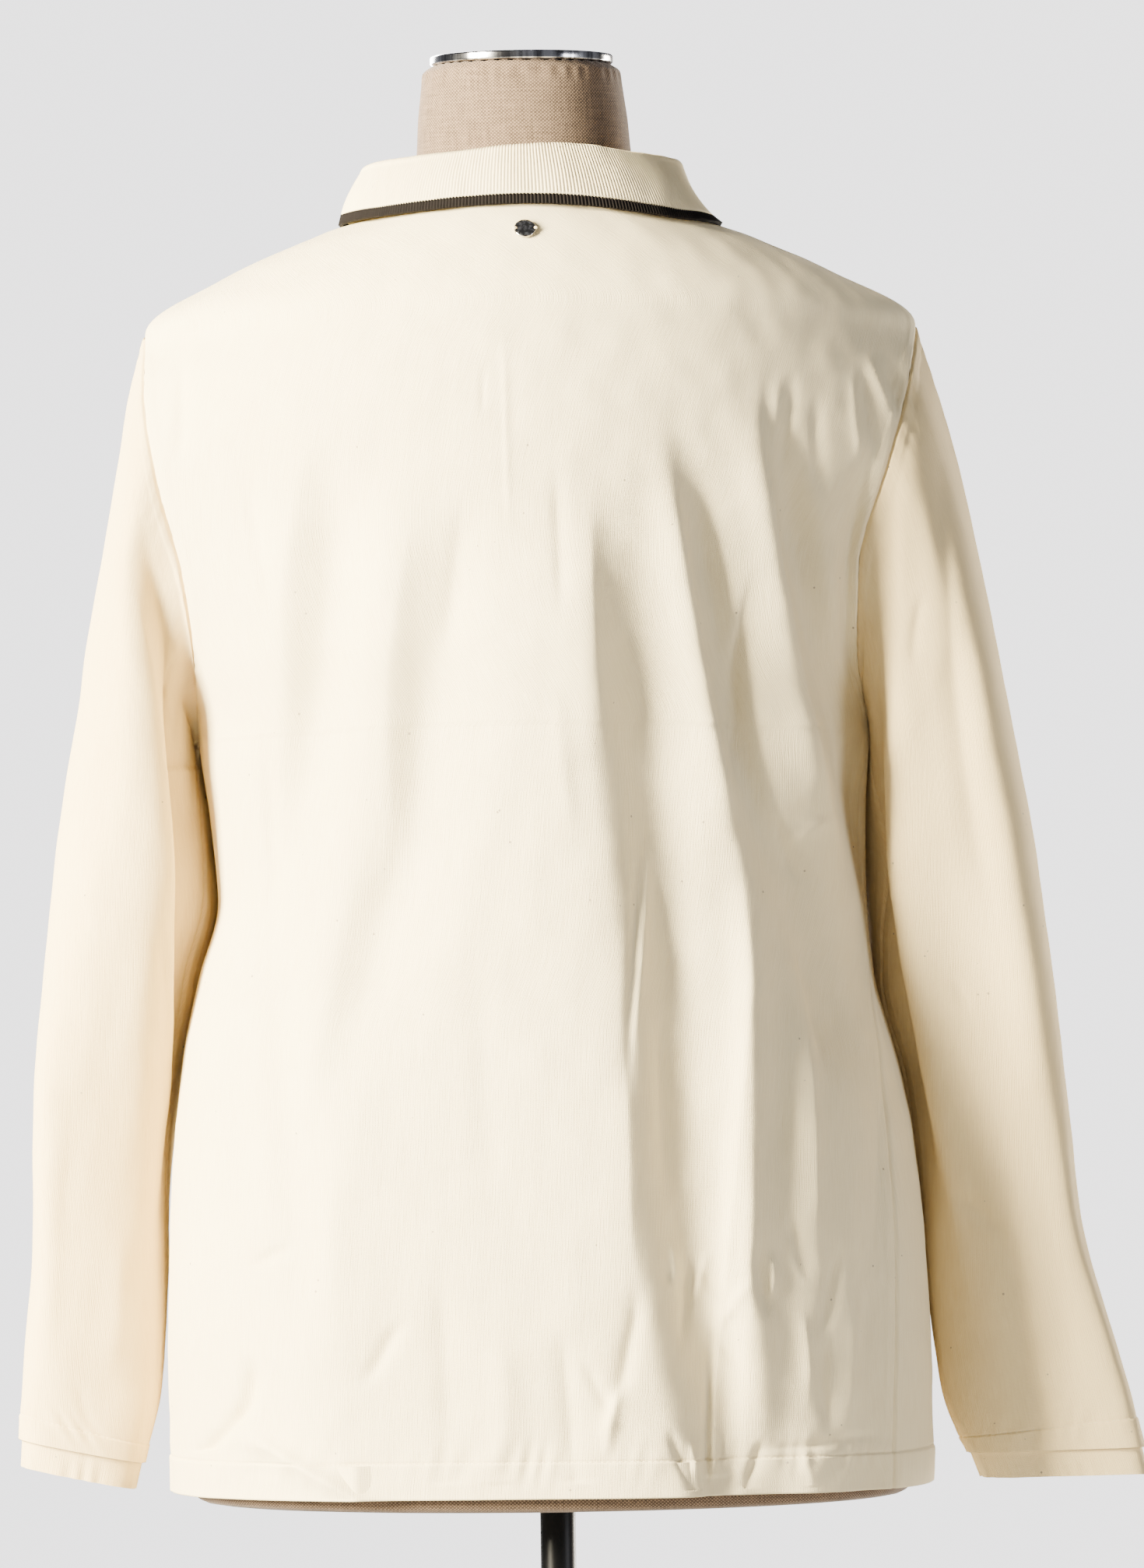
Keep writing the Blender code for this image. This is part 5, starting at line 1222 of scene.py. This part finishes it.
def round_piece(name, sides, radius, depth, steps, width, segments, angle=30):
    """A cylinder, its top face inset and moved up in steps, and its edges past an angle bevelled."""
    clear_selection()
    bpy.ops.mesh.primitive_cylinder_add(vertices=sides, radius=radius, depth=depth)
    made = bpy.context.object
    made.name = name
    for part in (*made.data.vertices, *made.data.edges):
        part.select = False
    for face in made.data.polygons:
        face.select = face.normal.z > 0.9
    bpy.ops.object.mode_set(mode="EDIT")
    bpy.ops.mesh.select_mode(type="FACE")
    for inset, rise in steps:
        if inset:
            bpy.ops.mesh.inset(thickness=inset)
        if rise:
            bpy.ops.transform.translate(value=(0, 0, rise))
    bpy.ops.object.mode_set(mode="OBJECT")
    rounding = made.modifiers.new("rounding", "BEVEL")
    rounding.width = width
    rounding.segments = segments
    rounding.limit_method = "ANGLE"
    rounding.angle_limit = math.radians(angle)
    bpy.ops.object.modifier_apply(modifier="rounding")
    return made


def smoothed(piece, angle):
    """Smooth shading over the edges flatter than an angle."""
    clear_selection()
    bpy.context.view_layer.objects.active = piece
    piece.select_set(True)
    bpy.ops.object.shade_smooth_by_angle(angle=math.radians(angle))


def settle(piece, place):
    """Moves a finished mesh to its place, and leaves the object itself at the origin."""
    piece.data.transform(place @ piece.matrix_world)
    piece.matrix_world = Matrix.Identity(4)


cap = round_piece("neck_cap_chrome", 128, CAP_RADIUS, CAP_THICK, CAP_STEPS, 0.0012, 5)
smoothed(cap, 35)
settle(cap, Matrix.Translation((LEAN * (CAP_FOOT - FORM_BOTTOM_Z), 0, CAP_FOOT + CAP_THICK / 2)))
chrome = new_material("spun_chrome_painted_streaks", Metallic=1.0)
on_piece = own_place()
brushed, smears = noise(on_piece, 900.0, 4.0), noise(on_piece, 38.0, 5.0)
spot = wire("SeparateXYZ", _0=on_piece).outputs
# The metal's colour runs in dark and bright rays round the middle: painted reflection streaks, standing in
# for the studio's lights caught in the spun metal.
turned = do("ARCTAN2", spot["Y"], spot["X"])
painted_reflection_rays = wire("TexNoise", noise_dimensions="1D", W=turned, Scale=4.5, Detail=3.0).outputs[0]
tint = ramp(blend(painted_reflection_rays, 0.9, brushed, 0.1), (0.16, 0.16, 0.17), (0.90, 0.90, 0.91), (0.42, 0.60))
fill(shader, Base_Color=tint, Roughness=spread(smears, 0.07, 0.24), Normal=bump(brushed, 0.15, 0.00005))
cap.data.materials.append(chrome)
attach(cap, "root")
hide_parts("form_cap")

# ---------------------------------------------------------------- the front placket
# A two-layer band of the shirt's jersey that closes the front, from the neck seam to a squared foot, stitched
# along both edges. The picture shows the back only, so it is the plain one such shirts have.
PLACKET_HALF = 0.0140
PLACKET_FOOT_V = 0.70
PLACKET_LOW, PLACKET_HIGH = 0.0004, 0.0026  # its two faces, out from the front panel
PLACKET_ROWS = 170
EDGE_STITCH = 0.0022  # from the placket's edge to its stitching
FOOT_STITCH = 0.005  # from its foot, up v


def front_place(v, x, out):
    """A point and the normal of the front, at x across and out from its panel."""
    v, x, out = np.broadcast_arrays(np.asarray(v, float), np.asarray(x, float), np.asarray(out, float))
    reach = np.where(x > 0, half_width(v, 1), half_width(v, -1))
    angle = np.degrees(np.arcsin(x / reach))
    normal = body_normal("front", v, angle)
    return smooth_body("front", v, angle) + normal * out[..., None], normal


thick = (PLACKET_HIGH - PLACKET_LOW) / 2
flank = PLACKET_HALF - thick
bend = np.radians(np.linspace(75, -75, 6))
over = np.linspace(-flank, flank, 33)
under = np.linspace(flank, -flank, 11)
ring_x = np.concatenate([over, flank + thick * np.cos(bend), under, -flank - thick * np.cos(bend)])
ring_out = np.concatenate([
    np.full(len(over), PLACKET_HIGH),
    PLACKET_LOW + thick + thick * np.sin(bend),
    np.full(len(under), PLACKET_LOW),
    PLACKET_LOW + thick - thick * np.sin(bend),
])
placket_v = np.linspace(PLACKET_FOOT_V, 1.0, PLACKET_ROWS)
v, x = np.meshgrid(placket_v, ring_x, indexing="ij")
out = np.broadcast_to(ring_out, v.shape).copy()
on_face = out > PLACKET_HIGH - 1e-9
from_edge = PLACKET_HALF - np.abs(x)
groove = np.exp(-(((from_edge - EDGE_STITCH) / 0.0007) ** 2))
groove = groove + np.exp(-(((v - PLACKET_FOOT_V - FOOT_STITCH) / 0.0015) ** 2))
pucker = puckers(from_edge, (v - PLACKET_FOOT_V) * 0.6, high=0.0002, reach=0.006, pitch=0.009, seed=1.1)
out = out + np.where(on_face, pucker - 0.0003 * groove, 0)
points, normal = front_place(v, x, out)
points = points + np.where(on_face, 0.00015 * wrinkle(points, 0.02, 41), 0)[..., None] * normal
placket = grid_mesh("placket_band", points, run_to(points[0]), run_to(points[:, 0])[:, None], ring=True)
mended(placket.data)
placket.data.materials.append(JERSEY)
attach(placket, "root")
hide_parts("placket")

# ---------------------------------------------------------------- the buttons
# Three cream four-hole buttons, 11 mm wide with a raised rim, done up. Hidden in the picture, so they are
# guessed at the usual places of such a placket.
BUTTON_RADIUS = 0.0055
BUTTON_HEIGHT = 0.0024
BUTTON_OUT = 0.0031
BUTTON_V = (0.965, 0.870, 0.765)
HOLE_STEP = 0.00125
HOLE_RADIUS = 0.00062
BUTTON_STEPS = ((0.0011, 0), (0.0005, -0.0006))  # inset, rise


def facing(point, normal):
    """The place of a small piece that stands on a surface, its own Z along the normal, after the lean."""
    up = Vector(normal).normalized()
    right = Vector((0, 0, 1)).cross(up).normalized()
    turned = Matrix((right, up.cross(right), up)).transposed().to_4x4()
    return Matrix.Translation(leaning(point)) @ turned


def drilled(piece, places, sides, radius):
    """Round holes cut through a piece."""
    for x, y in places:
        clear_selection()
        bpy.ops.mesh.primitive_cylinder_add(vertices=sides, radius=radius, depth=0.006, location=(x, y, 0))
        drill = bpy.context.object
        bpy.context.view_layer.objects.active = piece
        cut = piece.modifiers.new("hole", "BOOLEAN")
        cut.object = drill
        cut.solver = "EXACT"
        bpy.ops.object.modifier_apply(modifier="hole")
        bpy.data.objects.remove(drill)


button = round_piece("button", 72, BUTTON_RADIUS, BUTTON_HEIGHT, BUTTON_STEPS, 0.00028, 3, 25)
four = [(x, y) for x in (-HOLE_STEP, HOLE_STEP) for y in (-HOLE_STEP, HOLE_STEP)]
drilled(button, four, 20, HOLE_RADIUS)
smoothed(button, 35)
pearl = new_material("cream_button_plastic", Coat_Weight=0.35, Coat_Roughness=0.12)
swirl = noise(own_place(), 420.0, 4.0, Distortion=1.6)
tint = ramp(swirl, (0.66, 0.55, 0.38), (0.82, 0.74, 0.58))
fill(shader, Base_Color=tint, Roughness=spread(swirl, 0.22, 0.38), Normal=bump(swirl, 0.1, 0.0001))
button.data.materials.append(pearl)
button_places = [facing(*front_place(v, 0.0, BUTTON_OUT + BUTTON_HEIGHT / 2)) for v in BUTTON_V]
for number, place in enumerate(button_places, 1):
    one = linked(f"button_{number}_cream", button.data.copy())
    settle(one, place)
    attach(one, "root")
    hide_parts(f"button_{number}")
bpy.data.objects.remove(button)

# ---------------------------------------------------------------- the metal disc
# A small domed disc of dark polished metal sewn under the collar at the back, through a notch at each side.
# Its face is left bare.
DISC_V = 0.931
DISC_OUT = 0.0006
DISC_RADIUS = 0.0061
DISC_HEIGHT = 0.0013
DISC_DOME = ((0.0008, 0.00032), (0.0012, 0.00024), (0.0014, 0.00012), (0.0013, 0.00004))  # inset, rise
NOTCH_X = 0.0056
NOTCH_RADIUS = 0.0011
disc = round_piece("neck_disc_metal", 96, DISC_RADIUS, DISC_HEIGHT, DISC_DOME, 0.00025, 3, 40)
drilled(disc, ((-NOTCH_X, 0), (NOTCH_X, 0)), 24, NOTCH_RADIUS)
smoothed(disc, 35)
disc_at = smooth_body("back", DISC_V, 0.0)
disc_up = body_normal("back", DISC_V, 0.0)
disc_place = facing(disc_at + disc_up * (DISC_OUT + DISC_HEIGHT / 2), disc_up)
settle(disc, disc_place)
dark_steel = new_material("dark_polished_metal", Metallic=1.0)
scuffs = noise(own_place(), 520.0, 5.0)
tint = ramp(scuffs, (0.34, 0.31, 0.26), (0.92, 0.88, 0.80), (0.42, 0.62))
fill(shader, Base_Color=tint, Roughness=spread(scuffs, 0.06, 0.26), Normal=bump(scuffs, 0.5, 0.0002))
disc.data.materials.append(dark_steel)
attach(disc, "root")
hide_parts("neck_disc")

# ---------------------------------------------------------------- the stitching
# Cream thread: one row round the hem and each cuff and along the placket, worked buttonholes, and the
# strands that hold the buttons and the disc.
STITCH = 0.0026
STITCH_GAP = 0.0007
THREAD_RADIUS = 0.00016
STRAND_ROWS, STRAND_SIDES = 5, 6
STRAND_ARCH, STRAND_SINK = 1.2, 0.2  # times its radius
THREAD_SINK = 0.0002
BAR_RISE = np.arange(-0.0072, 0.0073, 0.00042)  # of a buttonhole's stitches, from its middle
METRES_A_V = 0.62
CROSS_THREADS = (-0.00028, 0.0, 0.00028)
DISC_THREADS = (-0.0007, -0.00023, 0.00023, 0.0007)
thread_cream = new_material("cream_thread", Sheen_Weight=0.2)
twist = wire("TexWave", Vector=own_place(), Scale=900.0, Distortion=2.0).outputs["Fac"]
tint = ramp(twist, (0.74, 0.61, 0.38), (0.86, 0.74, 0.48))
fill(shader, Base_Color=tint, Roughness=spread(twist, 0.55, 0.75), Normal=bump(twist, 0.4, 0.0001))


def threads(name, starts, ends, normals, radius=THREAD_RADIUS):
    """Short arched strands of thread from starts to ends, as one mesh."""
    starts, ends, normals = (np.asarray(a, float)[:, None, None] for a in (starts, ends, normals))
    share = np.linspace(0, 1, STRAND_ROWS)[None, :, None, None]
    turn = (np.arange(STRAND_SIDES) / STRAND_SIDES * 2 * math.pi)[None, None, :, None]
    thin = np.array([0.45, 1, 1, 1, 0.45])[None, :, None, None]
    rise = STRAND_ARCH * np.sin(math.pi * share) - STRAND_SINK
    middle = starts + (ends - starts) * share + normals * radius * rise
    side = unit(np.cross(ends - starts, normals))
    ring = middle + radius * thin * (side * np.cos(turn) + normals * np.sin(turn))
    size = STRAND_ROWS * STRAND_SIDES
    first = np.arange(len(ring))[:, None, None] * size
    along = np.arange(STRAND_ROWS - 1)[None, :, None] * STRAND_SIDES
    at = np.arange(STRAND_SIDES)[None, None, :]
    after = (at + 1) % STRAND_SIDES
    corners = (along + at, along + after, along + STRAND_SIDES + after, along + STRAND_SIDES + at)
    faces = np.stack([first + corner for corner in corners], axis=-1).reshape(-1, 4).tolist()
    for start in range(0, len(ring) * size, size):
        faces.append([start + i for i in range(STRAND_SIDES - 1, -1, -1)])
        faces.append([start + size - STRAND_SIDES + i for i in range(STRAND_SIDES)])
    mesh = bpy.data.meshes.new(name)
    mesh.from_pydata(leaning(ring).reshape(-1, 3).tolist(), [], faces)
    mesh.validate()
    mended(mesh)
    mesh.polygons.foreach_set("use_smooth", np.ones(len(mesh.polygons), dtype=bool))
    made = linked(name, mesh)
    made.data.materials.append(thread_cream)
    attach(made, "root")
    return made


def along_line(points, normals, lift=0.0):
    """Starts, ends and normals of stitches spaced along a line on the cloth."""
    run = run_to(points)
    at = np.arange(STITCH_GAP, run[-1] - STITCH, STITCH + STITCH_GAP)

    def placed(line, distances):
        """The line's own values at these distances along it."""
        return np.stack([np.interp(distances, run, line[:, k]) for k in range(3)], axis=-1)

    out = unit(placed(normals, at) + placed(normals, at + STITCH))
    return placed(points, at) + out * lift, placed(points, at + STITCH) + out * lift, out


def level_line(surface, normals, height):
    """The line at one height above a panel's lower edge, from its cloth grid."""
    rise = surface[:, :, 2] - surface[:1, :, 2]
    columns = range(rise.shape[1])
    return [
        np.array([[np.interp(height, rise[:, j], grid[:, j, k]) for k in range(3)] for j in columns])
        for grid in (surface, normals)
    ]


def stitched(name, lines, lift=0.0):
    """Stitches along several lines as one mesh."""
    parts = [along_line(*line, lift) for line in lines]
    return threads(name, *(np.concatenate([part[k] for part in parts]) for k in range(3)))


hem_panels = ((back_surface, back_normals), (front_surface, front_normals))
stitched("hem_stitching", [level_line(*panel, HEM["top"]) for panel in hem_panels])
for name, surface, normals in (
    ("cuff_stitching_left", left_surface, left_normals),
    ("cuff_stitching_right", right_surface, right_normals),
):
    row = np.interp(1 - CUFF["top"] / SLEEVE_LENGTH, sleeve_levels, np.arange(len(sleeve_levels)))
    low_row, share = int(row), row - int(row)
    line = [grid[low_row] * (1 - share) + grid[low_row + 1] * share for grid in (surface, normals)]
    stitched(name, [[np.concatenate([part, part[:1]]) for part in line]])
seam_v = np.linspace(PLACKET_FOOT_V + 0.006, 0.995, 120)
stitch_x, stitch_out = PLACKET_HALF - EDGE_STITCH, PLACKET_HIGH - THREAD_SINK
placket_lines = [front_place(seam_v, side * stitch_x, stitch_out) for side in (-1, 1)]
foot_x = np.linspace(-stitch_x, stitch_x, 20)
placket_lines.append(front_place(PLACKET_FOOT_V + FOOT_STITCH, foot_x, stitch_out))
stitched("placket_stitching", placket_lines)

bar_starts, bar_ends, bar_normals = [], [], []
for v_button in BUTTON_V:
    for side in (-1, 1):
        near, up_out = front_place(v_button + BAR_RISE / METRES_A_V, side * 0.0002, PLACKET_HIGH)
        far, _ = front_place(v_button + BAR_RISE / METRES_A_V, side * 0.0012, PLACKET_HIGH)
        bar_starts.append(near)
        bar_ends.append(far)
        bar_normals.append(up_out)
threads("buttonhole_stitching", *(np.concatenate(a) for a in (bar_starts, bar_ends, bar_normals)))


def strands(name, places, ends_xy, top):
    """Threads on top of small pieces: pairs of ends in a piece's own plane, at a height."""
    starts, ends, normals = [], [], []
    for place in places:
        for (x0, y0), (x1, y1) in ends_xy:
            for group, at in ((starts, (x0, y0, top)), (ends, (x1, y1, top))):
                point = np.array(place @ Vector(at))
                point[0] -= LEAN * (point[2] - FORM_BOTTOM_Z)
                group.append(point)
            normals.append(np.array(place.to_3x3() @ Vector((0, 0, 1))))
    return threads(name, starts, ends, normals, 0.00022)


rows_of_holes = [side * HOLE_STEP + k for side in (-1, 1) for k in CROSS_THREADS]
pairs = [((-HOLE_STEP, y), (HOLE_STEP, y)) for y in rows_of_holes]
strands("button_threads", button_places, pairs, BUTTON_HEIGHT / 2 - 0.0005)
bars = [((side * 0.0071, y), (side * 0.0048, y)) for side in (-1, 1) for y in DISC_THREADS]
strands("disc_threads", [disc_place], bars, 0.0006)

# ---------------------------------------------------------------- the stand
# A black satin-lacquered steel pole in a round base with a low bevelled top. The picture ends above the base,
# so it is a plain one of the usual size.
POLE_RADIUS = 0.010
BASE_RADIUS = 0.165
BASE_HEIGHT = 0.014
BASE_STEPS = ((0, -0.0075), (0.006, 0), (0.139, 0.0075))  # inset, rise
STAND_GAP = 0.0003

satin = new_material("satin_black_lacquer", Specular_IOR_Level=0.14)
on_piece = own_place()
peel, dust = noise(on_piece, 420.0, 3.0), noise(on_piece, 24.0, 6.0)
tint = ramp(dust, (0.0024, 0.0026, 0.0030), (0.0052, 0.0056, 0.0062))
fill(shader, Base_Color=tint, Roughness=spread(dust, 0.28, 0.46), Normal=bump(peel, 0.12, 0.0001))

base = round_piece("stand_base", 96, BASE_RADIUS, BASE_HEIGHT, BASE_STEPS, 0.0016, 4, 12)
smoothed(base, 30)
settle(base, Matrix.Translation((0, 0, BASE_HEIGHT / 2)))
base.data.materials.append(satin)
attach(base, "root")
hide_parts("form_base")

pole_foot = BASE_HEIGHT + STAND_GAP
pole_height = FORM_BOTTOM_Z - STAND_GAP - pole_foot
pole = round_piece("stand_pole", 64, POLE_RADIUS, pole_height, (), 0.0008, 3)
smoothed(pole, 30)
settle(pole, Matrix.Translation((0, 0, pole_foot + pole_height / 2)))
pole.data.materials.append(satin)
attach(pole, "root")
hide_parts("form_pole")
